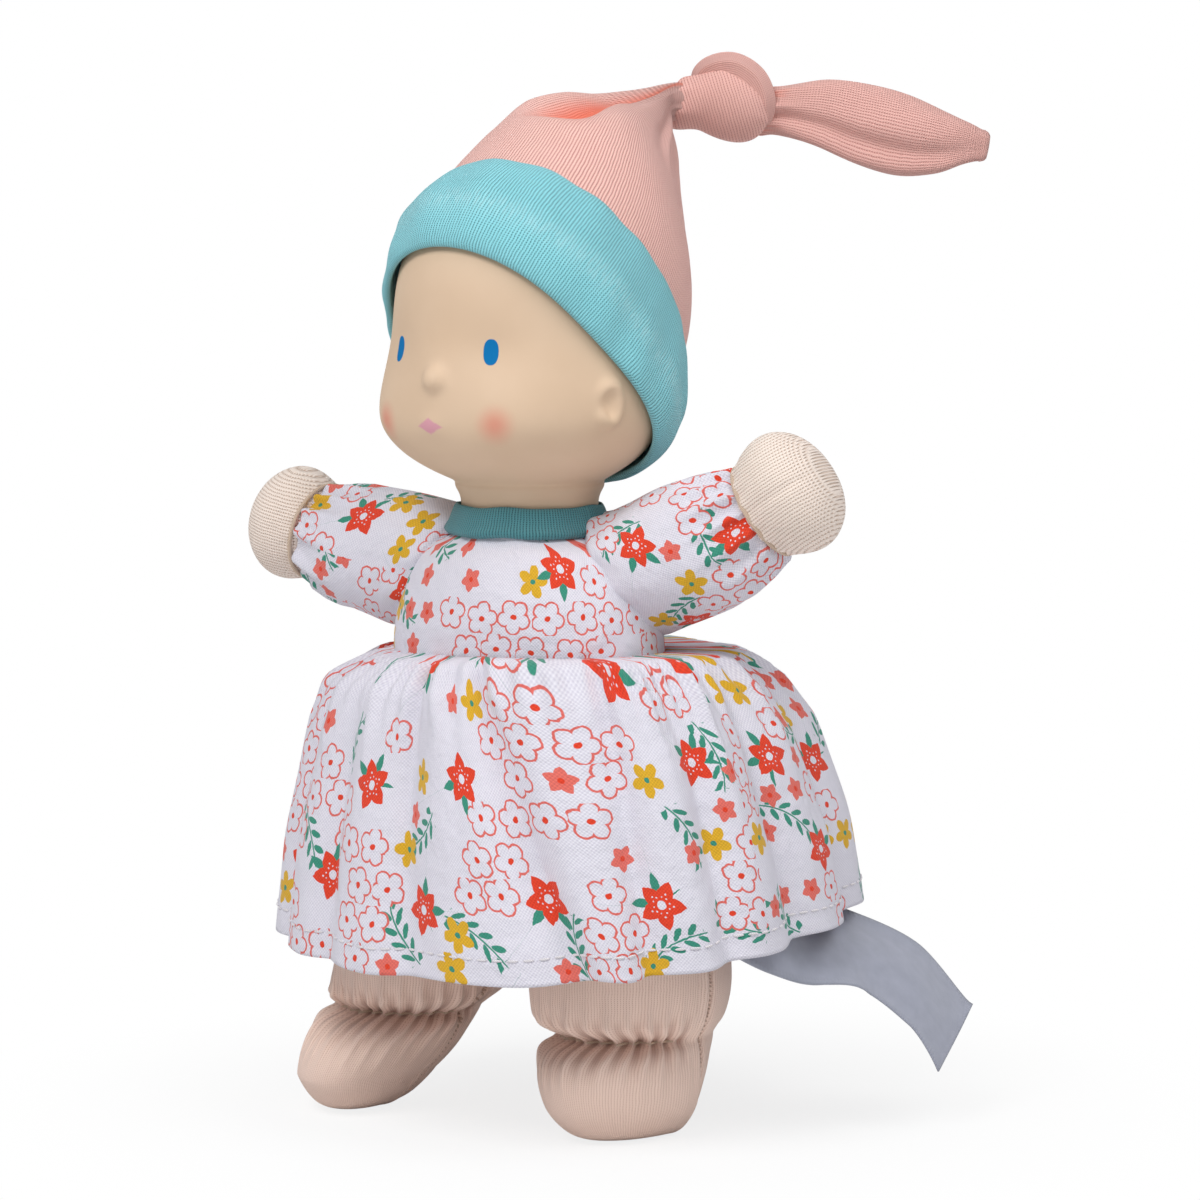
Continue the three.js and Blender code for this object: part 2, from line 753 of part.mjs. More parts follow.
// Hat. Its pieces are made upright round the head's middle, then the whole hat leans back.
const headMiddle = headFoot + 0.465 * headHeight;
const hat = new THREE.Group();
hat.position.set(0, 0, headMiddle);
hat.rotation.x = -hatTilt * degree;
doll.add(hat);
hat.updateMatrix();

// How far the head reaches from the hat's axis, from each height up, so that the hat can slide off
const hatSides = 30;
const toHat = hat.matrix.clone().invert();
const headSamples = [];
for (let row = 0; row <= 60; row++) {
  for (let column = 0; column < 120; column++) {
    headSamples.push(onHead(headFoot + (row / 60) * headHeight, column * 3).applyMatrix4(toHat));
  }
}

function headReach(height) {
  const reach = new Array(hatSides).fill(0);
  for (const sample of headSamples) {
    if (sample.z < height - 1) continue;
    const turn = (Math.atan2(sample.y, sample.x) / (2 * Math.PI)) * hatSides;
    for (const side of [Math.floor(turn), Math.ceil(turn)]) {
      const slot = (side + 2 * hatSides) % hatSides;
      reach[slot] = Math.max(reach[slot], Math.hypot(sample.x, sample.y));
    }
  }
  return reach.map((value, i) => {
    const before = reach[(i + hatSides - 1) % hatSides];
    const after = reach[(i + 1) % hatSides];
    return Math.max(value, (before + value + after) / 3);
  });
}

function hatRing(height, out, offset = 0) {
  return headReach(height).map((reach, i) => {
    const angle = (2 * Math.PI * i) / hatSides;
    return new THREE.Vector3(
      (reach + out) * Math.cos(angle),
      (reach + out) * Math.sin(angle) + offset,
      height,
    );
  });
}

const brimFoot = -brimDrop;
const brimTop = brimFoot + brimHeight;
const hatInside = 2.5 * clearance;

function brimSolid() {
  const bulge = [[0.03, 0.55], [0.16, 0.92], [0.45, 1], [0.75, 0.97], [0.93, 0.75], [1, 0.4]];
  const outside = bulge.map(([share, thick]) => hatRing(
    brimFoot + share * brimHeight, hatInside + thick * brimThickness,
  ));
  const inside = [1, 0.6, 0.3, 0].map((share) => hatRing(brimFoot + share * brimHeight, hatInside));
  return ringBody([...outside, ...inside], true);
}

// Each ring of the crown gives its share of the length, its share of the width and of the sag
const crownShares = [
  [0.14, 0.95, 0.2],
  [0.3, 0.86, 0.55],
  [0.48, 0.68, 0.95],
  [0.65, 0.48, 1.15],
  [0.8, 0.31, 1],
  [0.92, 0.19, 0.65],
];
const crownFoot = brimTop + clearance;

function crownRing([share, width, sag], inset) {
  const base = headReach(crownFoot);
  return base.map((reach, i) => {
    const angle = (2 * Math.PI * i) / hatSides;
    const radius = (reach + hatInside + knitThickness) * width - inset;
    return new THREE.Vector3(
      radius * Math.cos(angle),
      radius * Math.sin(angle) - sag * crownSag,
      crownFoot + share * crownLength,
    );
  });
}

const crownEnd = new THREE.Vector3(0, -crownEndSag * crownSag, crownFoot + crownLength);

function crownSolid() {
  const neck = Array.from({ length: hatSides }, (_, i) => {
    const angle = (2 * Math.PI * i) / hatSides;
    return new THREE.Vector3(
      crownNeckRadius * Math.cos(angle),
      crownNeckRadius * Math.sin(angle),
      0,
    ).add(crownEnd);
  });
  const stations = [[0, 1, 0], ...crownShares];
  const outside = stations.map((station) => crownRing(station, 0));
  const inside = stations.slice(0, -1).map((station) => crownRing(station, knitThickness));
  inside[0] = inside[0].map((point) => point.clone().setZ(crownFoot - 1));
  const floor = ringBody(inside);
  const end = new THREE.SphereGeometry(crownNeckRadius, 12, 8);
  end.translate(...crownEnd.toArray());
  return ringBody([...outside, neck]).subtract(floor).add(solidOf(end));
}

addPart(hat, 'hat_brim', brimSolid(), turquoise, 0.9);
addPart(hat, 'hat_crown', crownSolid(), pinkKnit, 0.9);

// The knot and the tail hang from the neck of the crown, turned to the doll's back and left
const tip = new THREE.Group();
tip.position.copy(crownEnd).applyMatrix4(hat.matrix);
tip.rotation.set(0, tailTilt * degree, tailTurn * degree, 'ZYX');
doll.add(tip);

const knotMiddle = [knotRadius * 1.15, knotRadius * 0.55, knotRadius * 0.5];

function knotSolid() {
  const core = new THREE.SphereGeometry(knotRadius, 14, 10).scale(0.9, 0.9, 1);
  const wrap = new THREE.TorusGeometry(knotRadius * 0.66, knotRadius * 0.42, 7, 18);
  wrap.scale(1, 1, 1.1).rotateX(70 * degree).rotateZ(65 * degree);
  const neck = new THREE.SphereGeometry(crownNeckRadius + clearance, 16, 10);
  return solidOf(core.translate(...knotMiddle))
    .add(solidOf(wrap.translate(...knotMiddle)))
    .subtract(solidOf(neck));
}

const tailStations = [
  { along: 0, across: 0.52, tall: 0.5 },
  { along: 0.16, across: 0.8, tall: 0.66 },
  { along: 0.36, across: 1, tall: 0.86 },
  { along: 0.56, across: 0.95, tall: 1 },
  { along: 0.74, across: 0.75, tall: 0.94 },
  { along: 0.88, across: 0.5, tall: 0.7 },
  { along: 0.97, across: 0.3, tall: 0.42 },
  { along: 1, across: 0.15, tall: 0.2 },
];

function tailSolid() {
  const start = knotMiddle[0] + knotRadius + clearance;
  const rings = tailStations.map(({ along, across, tall }) => limbRing({
    along: start + along * tailLength,
    across: (across * tailThickness) / 2,
    tall: (tall * tailWidth) / 2,
  }, skinSides));
  const tail = ringBody(rings);
  return moved(tail, new THREE.Matrix4().makeTranslation(0, knotMiddle[1], knotMiddle[2]));
}

addPart(tip, 'hat_knot', knotSolid(), pinkKnit, 0.9);
addPart(tip, 'hat_tail', tailSolid(), pinkKnit, 0.9);

// Care label: a folded ribbon sewn inside the left of the skirt, which twists and hangs out under the
// hem. Each point of its middle line gives its share of the skirt's half width and of its reach to the
// back, its height over the hem, and the lean of the ribbon's width away from the doll's front left.
const labelPoints = [
  [0.864, 0.024, 15, 0.1],
  [0.879, 0.159, 7, 0.6],
  [0.864, 0.329, 0, 2.2],
  [0.932, 0.512, -4.5, 2.1],
  [1.045, 0.659, -12, 1.4],
  [1.129, 0.75, -22, 1.15],
];
const labelPath = new THREE.CatmullRomCurve3(labelPoints.map(([wide, deep, rise]) => new THREE.Vector3(
  (wide * skirtWidth) / 2,
  deep * skirtBack,
  waistHeight - skirtLength + rise,
)));
const labelLeans = labelPoints.map(([, , , lean], i) => new THREE.Vector3(i, lean, 0));
const labelLean = new THREE.CatmullRomCurve3(labelLeans);

function labelSolid() {
  const steps = 15;
  const away = new THREE.Vector3(-Math.sin(labelFacing * degree), Math.cos(labelFacing * degree), 0);
  const rings = [];
  for (let i = 0; i <= steps; i++) {
    const share = i / steps;
    const middle = labelPath.getPoint(share);
    const tangent = labelPath.getTangent(share);
    const width = away.clone().multiplyScalar(labelLean.getPoint(share).y).add(upward);
    width.addScaledVector(tangent, -width.dot(tangent)).normalize();
    const normal = new THREE.Vector3().crossVectors(tangent, width);
    const corner = (w, n) => middle.clone()
      .addScaledVector(width, (w * labelWidth) / 2)
      .addScaledVector(normal, (n * labelThickness) / 2);
    rings.push([corner(-1, -1), corner(1, -1), corner(1, 1), corner(-1, 1)]);
  }
  return ringBody(rings);
}

addPart(doll, 'care_label', labelSolid(), '#f4f4f8', 0.4);

// The finished doll stands with its soles on z = 0 and the middle of its box on the Z axis
const group = new THREE.Group();
group.add(doll);
const box = new THREE.Box3().setFromObject(doll, true);
const middle = box.getCenter(new THREE.Vector3());
doll.position.set(-middle.x, -middle.y, -box.min.z);

export default group;
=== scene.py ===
import json

import bpy
import numpy as np
from mathutils import Matrix, Vector
from numpy import cos, pi, radians, sin


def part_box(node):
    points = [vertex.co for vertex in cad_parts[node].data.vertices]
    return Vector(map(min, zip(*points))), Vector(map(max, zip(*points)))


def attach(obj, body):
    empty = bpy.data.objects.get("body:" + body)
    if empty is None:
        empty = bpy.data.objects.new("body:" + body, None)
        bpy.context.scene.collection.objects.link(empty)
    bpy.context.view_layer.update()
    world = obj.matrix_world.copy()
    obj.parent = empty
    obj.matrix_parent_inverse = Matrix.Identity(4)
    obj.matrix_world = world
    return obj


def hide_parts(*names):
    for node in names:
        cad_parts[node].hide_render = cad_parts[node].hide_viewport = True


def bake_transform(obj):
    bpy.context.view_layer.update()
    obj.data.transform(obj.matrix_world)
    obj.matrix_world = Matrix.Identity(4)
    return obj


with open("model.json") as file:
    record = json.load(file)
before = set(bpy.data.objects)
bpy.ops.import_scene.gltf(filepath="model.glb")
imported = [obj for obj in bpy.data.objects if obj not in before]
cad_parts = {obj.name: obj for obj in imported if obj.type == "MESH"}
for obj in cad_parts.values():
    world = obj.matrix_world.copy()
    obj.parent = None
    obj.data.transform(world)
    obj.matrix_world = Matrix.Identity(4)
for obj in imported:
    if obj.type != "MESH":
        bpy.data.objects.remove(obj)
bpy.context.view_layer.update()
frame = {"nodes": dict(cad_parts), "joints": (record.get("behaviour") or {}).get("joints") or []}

# A soft baby doll: rubber head, stuffed cloth body in a gathered dress, knitted hat with a knotted tip.
# Lengths are in millimetres round the body's upright axis, heights from the soles. The doll faces -Y.

MM = 0.001
joints = {joint["name"]: joint for joint in frame["joints"]}
AXIS = np.array([*joints["head_turn"]["pos_m"][:2], 0]) / MM


def metres(points):
    """Points in millimetres round the body's axis, as metres in the frame"""
    return (np.asarray(points, float) + AXIS) * MM


def place_of(joint):
    """Where a joint turns, in millimetres round the body's axis"""
    return np.array(joints[joint]["pos_m"]) / MM - AXIS


def reach_of(node):
    """A CAD node's lowest and highest corners, in millimetres round the body's axis"""
    low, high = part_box(node)
    return np.array(low) / MM - AXIS, np.array(high) / MM - AXIS


HIP = place_of("sit_fold")[2]
WAIST = reach_of("skirt")[1][2]
HEM_RISE = 6
HEM = reach_of("skirt")[0][2] + HEM_RISE
BODICE_FOOT = reach_of("bodice_front")[0][2]
BODICE_TOP = reach_of("bodice_front")[1][2]
BINDING_FOOT = reach_of("collar_binding")[0][2]
BINDING_TOP = reach_of("collar_binding")[1][2]
HEAD_FOOT = BINDING_TOP + 5
HEAD_TOP = reach_of("head_shell")[1][2]
HEAD_HEIGHT = HEAD_TOP - HEAD_FOOT
HAT_MIDDLE = np.array([0, 0, HEAD_FOOT + 0.465 * HEAD_HEIGHT])

# Camera, at the photograph's viewing angle
CAMERA_TURN = radians(40.9)
CAMERA_DISTANCE = 1100
CAMERA_HEIGHT = 223.6
AIM_RIGHT = 15.8
AIM_HEIGHT = 118.5
LENS = 146.8

towards_camera = np.array([sin(CAMERA_TURN), -cos(CAMERA_TURN), 0])
picture_right = np.array([cos(CAMERA_TURN), sin(CAMERA_TURN), 0])
eye = Vector(metres(towards_camera * CAMERA_DISTANCE + [0, 0, CAMERA_HEIGHT]))
aim = Vector(metres(picture_right * AIM_RIGHT + [0, 0, AIM_HEIGHT]))
bpy.ops.object.camera_add(location=eye, rotation=(aim - eye).to_track_quat("-Z", "Y").to_euler())
camera = bpy.context.object
camera.data.lens = LENS
camera.data.sensor_width = 36
bpy.context.scene.camera = camera
bpy.context.scene.view_settings.view_transform = "Standard"


# Shader maths

def rgb(code):
    """A colour written as #rrggbb, as the linear values that a shader takes"""
    parts = [int(code[i:i + 2], 16) / 255 for i in (1, 3, 5)]
    return [part / 12.92 if part <= 0.04045 else ((part + 0.055) / 1.055) ** 2.4 for part in parts] + [1]


def adding(operation):
    """An operator that adds a Math node for a value and another"""
    return lambda value, other: value.finish.math(operation, value, other)


class Value:
    """A number, colour or vector inside a finish. Arithmetic on it adds the nodes that work it out."""

    def __init__(self, finish, socket):
        self.finish, self.socket = finish, socket

    __add__ = __radd__ = adding("ADD")
    __sub__ = adding("SUBTRACT")
    __mul__ = __rmul__ = adding("MULTIPLY")
    __truediv__ = adding("DIVIDE")
    __mod__ = adding("FLOORED_MODULO")
    __pow__ = adding("POWER")
    __lt__ = adding("LESS_THAN")
    __gt__ = adding("GREATER_THAN")

    def __rsub__(self, other):
        return self.finish.math("SUBTRACT", other, self)

    def __abs__(self):
        return self.finish.math("ABSOLUTE", self)


class Finish:
    """One material, or the studio's world, and the nodes that make it"""

    def __init__(self, name, kept_in=bpy.data.materials):
        self.made = kept_in.new(name)
        self.made.use_nodes = True
        self.tree = self.made.node_tree
        self.tree.nodes.clear()

    def node(self, kind, settings=None, sockets=None, out=0):
        made = self.tree.nodes.new("ShaderNode" + kind)
        for name, value in (settings or {}).items():
            setattr(made, name, value)
        for name, value in (sockets or {}).items():
            if isinstance(value, Value):
                self.tree.links.new(value.socket, made.inputs[name])
            else:
                made.inputs[name].default_value = value
        return Value(self, made.outputs[out])

    def math(self, operation, *values):
        return self.node("Math", {"operation": operation}, dict(enumerate(values)))

    def sin(self, value):
        return self.math("SINE", value)

    def cos(self, value):
        return self.math("COSINE", value)

    def most(self, *values):
        top = values[0]
        for value in values[1:]:
            top = self.math("MAXIMUM", top, value)
        return top

    def length(self, a, b):
        return self.math("SQRT", a * a + b * b)

    def ease(self, value, low, high):
        """0 below low and 1 above high, smooth between. With low above high it falls instead."""
        low, high, start, end = (low, high, 0, 1) if low < high else (high, low, 1, 0)
        return self.node("MapRange", {"interpolation_type": "SMOOTHSTEP"},
                         {0: value, 1: low, 2: high, 3: start, 4: end})

    def under(self, value, edge, soft=0.07):
        """1 where the value is under the edge, with a soft border"""
        return self.ease(value, edge + soft, edge - soft)

    def mix(self, factor, a, b):
        return self.node("Mix", {"data_type": "RGBA"}, {0: factor, 6: a, 7: b}, out=2)

    def parts(self, vector):
        split = self.node("SeparateXYZ", sockets={0: vector})
        return [Value(self, part) for part in split.socket.node.outputs]

    def join(self, x, y, z=0):
        return self.node("CombineXYZ", sockets={0: x, 1: y, 2: z})

    def cloth_place(self):
        """The place on the flat cloth, in millimetres across and along"""
        x, y, _ = self.parts(self.node("UVMap", {"uv_map": "UVMap"}))
        return x / MM, y / MM

    def object_place(self):
        """The place in the frame, in metres"""
        return self.node("TexCoord", out="Object")

    def noise(self, vector, scale, detail=2.0, roughness=0.5):
        return self.node("TexNoise", {"noise_dimensions": "3D"},
                         {"Vector": vector, "Scale": scale, "Detail": detail, "Roughness": roughness})

    def bump(self, height, distance, strength=1.0):
        return self.node("Bump", sockets={"Height": height, "Distance": distance, "Strength": strength})

    def surface(self, **sockets):
        """Ends the finish with its shader. Names are the shader's sockets with _ for a space."""
        named = {name.replace("_", " "): value for name, value in sockets.items()}
        self.output(self.node("BsdfPrincipled", sockets=named))
        return self.made

    def output(self, shader, kind="Material"):
        end = self.tree.nodes.new("ShaderNodeOutput" + kind)
        self.tree.links.new(shader.socket, end.inputs["Surface"])

    def seen(self):
        """1 where the camera or a reflection looks at it, 0 where it only lights the doll"""
        return self.most(*(self.node("LightPath", out=ray) for ray in ("Is Camera Ray", "Is Glossy Ray")))


# Finishes

def thread_weave(finish, x, y, pitch):
    """How high the threads of a plain weave stand, from 0 to 1"""
    warp = finish.sin(x * (2 * pi / pitch))
    weft = finish.sin(y * (2 * pi / pitch))
    return warp * weft * 0.5 + 0.5


class Motifs:
    """Motifs thrown over the cloth, one to a cell, in rows that are shifted by half a cell"""

    def __init__(self, finish, pitch, rise, jitter, seed):
        self.finish, self.pitch, self.rise, self.jitter, self.seed = finish, pitch, rise, jitter, seed

    def at(self, x, y):
        """From a place on the cloth: the cell's middle, the motif's middle and three random numbers"""
        finish = self.finish
        row = finish.math("ROUND", y / self.rise)
        shift = (row % 2) * 0.5
        column = finish.math("ROUND", x / self.pitch - shift)
        cell = finish.join(column, row, self.seed)
        chance = finish.node("TexWhiteNoise", {"noise_dimensions": "3D"}, {"Vector": cell}, out="Color")
        first, second, third = finish.parts(chance)
        cell_x = (column + shift) * self.pitch
        cell_y = row * self.rise
        middle_x = cell_x + (first - 0.5) * (self.jitter * self.pitch)
        middle_y = cell_y + (second - 0.5) * (self.jitter * self.rise)
        return cell_x, cell_y, middle_x, middle_y, (first, second, third)


def petals(finish, dx, dy, turn, count):
    """A place near a flower's middle, folded into one petal: along it, across it, and the radius"""
    wedge = 2 * pi / count
    radius = finish.length(dx, dy)
    angle = finish.math("ARCTAN2", dy, dx) + turn
    folded = angle % wedge - wedge / 2
    return radius * finish.cos(folded), radius * finish.sin(folded), radius, folded


CLOTH = "#f1eff5"
CLOTH_SHADE = "#d2cfda"
STAR_RED = "#f2482a"
CORAL = "#f4796a"
OUTLINE_CORAL = "#ef7468"
YELLOW = "#ecb92e"
GREEN = "#3f9a80"
STAR_SHARE = 0.82


def flower_print(finish, x, y):
    """The colour of a cloth that is printed all over with small flowers"""
    colour = rgb(CLOTH)

    def ink(mask, name):
        """Prints an ink over what is there already"""
        nonlocal colour
        colour = finish.mix(mask, colour, rgb(name))

    wander = finish.noise(finish.join(x, y), 0.9, 1)
    x = x + (wander - 0.5) * 0.5
    y = y + (wander - 0.5) * 0.4

    small = Motifs(finish, 8.5, 7.9, 0.16, 3)
    stars = Motifs(finish, 31, 25, 0.34, 11)
    sprigs = Motifs(finish, 23, 19, 0.3, 29)

    # Leaf sprigs: a bowed stem with leaves on either side in turn
    _, _, sprig_x, sprig_y, chance = sprigs.at(x, y)
    turn = chance[2] * (2 * pi)
    dx, dy = x - sprig_x, y - sprig_y
    along = dx * finish.cos(turn) + dy * finish.sin(turn)
    aside = dy * finish.cos(turn) - dx * finish.sin(turn) - along * along * 0.03
    length = finish.ease(abs(along), 8.2, 7.6)
    stem = finish.under(abs(aside), 0.2) * length
    side = aside > 0
    leaf_along = (along + side * 1.7) % 3.4 - 1.7
    leaf_aside = abs(aside) - 1.5
    lean_along = leaf_along * 0.64 - leaf_aside * 0.77
    lean_across = leaf_along * 0.77 + leaf_aside * 0.64
    leaf = finish.math("SQRT", lean_along * lean_along / 0.42 + lean_across * lean_across / 2.9)
    leaves = finish.under(leaf, 1, 0.09) * finish.under(abs(along), 7.3) * (leaf_aside < 1.6)
    crowd = finish.noise(finish.join(sprig_x, sprig_y, 4), 0.045, 0)
    sprig = finish.most(stem, leaves) * (crowd < 0.53) * (chance[0] < 0.86)
    ink(sprig, GREEN)

    # Small flowers: outlined ones in crowds, solid coral and yellow ones between
    cell_x, cell_y, small_x, small_y, chance = small.at(x, y)
    crowd = finish.noise(finish.join(cell_x, cell_y, 4), 0.045, 0)
    pick = chance[2]
    outlined = finish.most(crowd > 0.56, (pick > 0.92) * (crowd > 0.4))
    coral = (1 - outlined) * (pick < 0.38)
    yellow = (1 - outlined) * (pick > 0.38) * (pick < 0.54)
    _, _, star_x, star_y, star_chance = stars.at(cell_x, cell_y)
    apart = finish.length(cell_x - star_x, cell_y - star_y)
    room = finish.most(apart > 8.8, star_chance[2] > STAR_SHARE)
    dx, dy = x - small_x, y - small_y
    reach, wide, radius, folded = petals(finish, dx, dy, chance[0] * (2 * pi), 5)

    outlined, coral, yellow = outlined * room, coral * room, yellow * room
    lobe = finish.length(reach - 2.35, wide) - 1.66
    line = finish.under(abs(lobe), 0.23) * (radius > 1.65)
    drop_x = dx * finish.cos(pick * 40) + dy * finish.sin(pick * 40)
    drop = finish.math("SQRT", drop_x * drop_x * 0.35 + radius * radius * 0.65)
    middle = finish.under(drop, 0.62)
    ink(finish.most(lobe < 0, radius < 1.8) * outlined, CLOTH)
    ink(line * outlined, OUTLINE_CORAL)
    ink(middle * outlined, STAR_RED)

    edge = 2.95 - abs(folded) * 1.75
    ink(finish.under(radius - edge, 0) * coral, CORAL)
    ink(finish.under(radius, 0.6) * coral, STAR_RED)
    long_petal = finish.length(reach - 2.2, wide * 2.1 ** 0.5)
    ink(finish.most(finish.under(long_petal, 1.75), finish.under(radius, 1.4)) * yellow, YELLOW)
    ink(finish.under(radius, 0.62) * yellow, GREEN)

    # Large star flowers with leaves behind them and two rings of white dots
    _, _, star_x, star_y, chance = stars.at(x, y)
    shown = chance[2] < STAR_SHARE
    dx, dy = (x - star_x) * 1.15, (y - star_y) * 1.15
    turn = chance[0] * (2 * pi)
    reach, wide, radius, _ = petals(finish, dx, dy, turn, 5)
    leaf_reach, leaf_wide, _, _ = petals(finish, dx, dy, turn + pi / 5, 5)
    leaf_share = finish.math("MINIMUM", finish.most((leaf_reach - 2.2) / 6.2, 0), 1)
    leaf_span = finish.sin(leaf_share * pi)
    some = finish.sin(finish.math("ARCTAN2", dy, dx) + chance[1] * 40) > 0.2
    leaves = finish.under(abs(leaf_wide) - leaf_span * 1.15, 0, 0.08) * (leaf_reach > 2.2) * some
    ink(leaves * shown, GREEN)
    star_wide = 2.05 - (reach - 2.7) * (reach - 2.7) * 0.155
    star = finish.under(abs(wide) - star_wide, 0)
    dot_reach, dot_wide, _, _ = petals(finish, dx, dy, turn, 10)
    near = finish.length(dot_reach - 2.1, dot_wide)
    far = finish.length(reach - 3, wide)
    dots = finish.most(finish.under(near, 0.2), finish.under(far, 0.24), finish.under(radius, 1.15))
    ink(star * shown, STAR_RED)
    ink(dots * star * shown, CLOTH)
    return colour


def printed_cotton():
    finish = Finish("printed_cotton")
    x, y = finish.cloth_place()
    weave = thread_weave(finish, x, y, 0.8)
    slubs = finish.noise(finish.join(x * 0.35, y * 3.2), 1.4, 2)
    colour = flower_print(finish, x, y)
    worn = finish.node("Mix", {"data_type": "RGBA", "blend_type": "MULTIPLY"},
                       {0: weave * 0.6 + slubs * 0.4, 6: colour, 7: rgb(CLOTH_SHADE)}, out=2)
    rumple = finish.noise(finish.join(x, y), 0.16, 3)
    height = weave * 1.1 + slubs * 0.9 + rumple * 14
    return finish.surface(Base_Color=worn, Roughness=0.9, Sheen_Weight=0.15, Sheen_Roughness=0.5,
                          Specular_IOR_Level=0.25, Normal=finish.bump(height, 0.0001, 0.9))


def knit(name, light, dark, wale, course, holes=0.55, depth=0.0002, tint=None):
    """Stocking stitch: columns of V-shaped loops that run along the cloth, with dark gaps between them"""
    finish = Finish(name)
    x, y = finish.cloth_place()
    sway = finish.noise(finish.join(x, y), 0.35, 1)
    x = x + (sway - 0.5) * 0.4
    off = abs((x / wale) % 1 - 0.5) * 2
    loops = 0.5 - finish.cos((y / course + off * 0.75) * (2 * pi)) * 0.5
    height = 1 - off * off * (1 - loops * holes) - (1 - loops) * 0.25
    fuzz = finish.noise(finish.join(x, y), 2.6, 3, 0.7)
    tone = finish.ease(height + (fuzz - 0.5) * 0.4, -0.05, 0.85)
    cloudy = finish.noise(finish.join(x, y), 0.12, 2)
    colour = finish.mix(tone * 0.94 + cloudy * 0.12, rgb(dark), rgb(light))
    if tint:
        colour = tint(finish, colour, x, y)
    bump = finish.bump(height + fuzz * 0.35, depth)
    return finish.surface(Base_Color=colour, Roughness=0.92, Sheen_Weight=0.2, Sheen_Roughness=0.4,
                          Specular_IOR_Level=0.2, Normal=bump)


def cuff_ridge_highlight(finish, colour, x, y):
    """Painted highlight: the cuff is paler along the ridge where its folded cloth is pulled over the edge
    inside
    """
    ridge = finish.ease(abs(y - 14), 6, 0)
    streaks = finish.ease(finish.noise(finish.join(x * 1.4, y * 0.25), 1.1, 2), 0.3, 0.75)
    return finish.mix(ridge * streaks * 0.5, colour, rgb("#b9e9ee"))


def crown_pocket_shade(finish, colour, x, y):
    """Painted shade: deep coral inside the pocket that the crown's folds leave before the knot"""
    pocket = finish.ease(abs(x - POCKET_ACROSS), 13.5, 5) * finish.ease(y, 18, 32) * finish.ease(y, 62, 56)
    return finish.mix(pocket * 0.9, colour, rgb("#fa8368"))


def knot_crease_shade(finish, colour, x, y):
    """Painted shade: deeper pink where the cloth is creased into the knot"""
    streaks = finish.ease(finish.noise(finish.join(x * 0.5, y * 0.1), 1, 1), 0.5, 0.75)
    return finish.mix(finish.ease(y, 13, 2) * streaks * 0.8, colour, rgb("#f08a74"))


def ankle_fold_shade(finish, colour, x, y):
    """Painted shade: darker in the folds that the gathering thread pulls into the ankle, and along the
    thread's line
    """
    angle = x * (2 * pi / LEG_GIRTH)
    wave = finish.cos(angle * 31 + finish.sin(angle * 3) * 1.3)
    folds = finish.ease(wave, 0.3, -0.9) * finish.ease(abs(y - ANKLE_ALONG), 9, 1)
    gather = finish.ease(abs(y - ANKLE_ALONG), 1.6, 0)
    in_front = x > 56
    return finish.mix((folds * 0.5 + gather * 0.3) * in_front, colour, rgb("#a5796a"))


def stuffing():
    finish = Finish("stuffing")
    place = finish.object_place()
    fluff = finish.noise(place, 900, 4, 0.7)
    colour = finish.mix(fluff, rgb("#e4dfd4"), rgb("#fbf9f4"))
    return finish.surface(Base_Color=colour, Roughness=1.0, Normal=finish.bump(fluff, 0.0004))


def spun_thread(name="sewing_thread", colour="#dcc4ae"):
    finish = Finish(name)
    x, y, z = finish.parts(finish.object_place())
    ply = finish.sin((x + y) * 9000 + z * 15000) * 0.5 + 0.5
    tone = finish.mix(ply * 0.35, rgb(colour), rgb("#a98f79"))
    return finish.surface(Base_Color=tone, Roughness=0.85, Normal=finish.bump(ply, 0.0001))


def satin_ribbon():
    finish = Finish("satin_ribbon")
    x, y = finish.cloth_place()
    threads = finish.sin(y * (2 * pi / 0.32)) * 0.5 + 0.5
    edge = finish.ease(abs(x - 15), 13.1, 13.5)
    selvedge = finish.sin(y * (2 * pi / 0.9)) * 0.5 + 0.5
    cloudy = finish.noise(finish.join(x, y), 0.25, 2)
    # The ribbon's greys are white satin darkened all over: painted shade
    colour = finish.mix(cloudy, rgb("#9194a3"), rgb("#a7aab9"))
    colour = finish.mix(edge * (selvedge * 0.4 + 0.3), colour, rgb("#9a9dab"))
    height = threads * 0.4 + edge * selvedge
    return finish.surface(Base_Color=colour, Roughness=0.42, Specular_IOR_Level=0.5,
                          Normal=finish.bump(height, 0.00005))


# Head shape: shares of its height, half width, front and back reach, from the chin's foot to the top
HEAD_HALF = 33
HEAD_FRONT = 34
HEAD_BACK = 35.5
NECK_RADIUS = 16
NECK_FILLET = [(0, 15.3), (2.2, 16), (4, 17.2)]
head_stations = [
    (0, 0.5, 0.49, 0.46), (0.02, 0.6, 0.62, 0.55), (0.076, 0.8, 0.84, 0.7), (0.14, 0.92, 0.96, 0.79),
    (0.2, 0.985, 1, 0.86), (0.285, 1, 0.985, 0.915), (0.37, 0.98, 0.95, 0.957), (0.45, 0.95, 0.925, 0.986),
    (0.55, 0.925, 0.93, 1), (0.66, 0.885, 0.905, 0.97), (0.757, 0.81, 0.82, 0.89), (0.854, 0.7, 0.69, 0.75),
    (0.924, 0.53, 0.515, 0.56), (0.975, 0.31, 0.31, 0.33), (1, 0.06, 0.06, 0.06),
]


def through(stations, key):
    """The smooth curve through a list of stations, read at the keys. The key is each station's first."""
    rows = np.array(stations, float)
    key = np.asarray(key, float)
    keys = rows[:, 0]
    i = np.clip(np.searchsorted(keys, key, side="right") - 1, 0, len(keys) - 2)
    t = np.clip((key - keys[i]) / (keys[i + 1] - keys[i]), 0, 1)[..., None]
    before, start, end, after = (rows[np.clip(i + k, 0, len(rows) - 1), 1:] for k in (-1, 0, 1, 2))
    leave, arrive = (end - before) / 2, (after - start) / 2
    cubic = 2 * start - 2 * end + leave + arrive
    square = 3 * (end - start) - 2 * leave - arrive
    return np.moveaxis(cubic * t ** 3 + square * t ** 2 + leave * t + start, -1, 0)


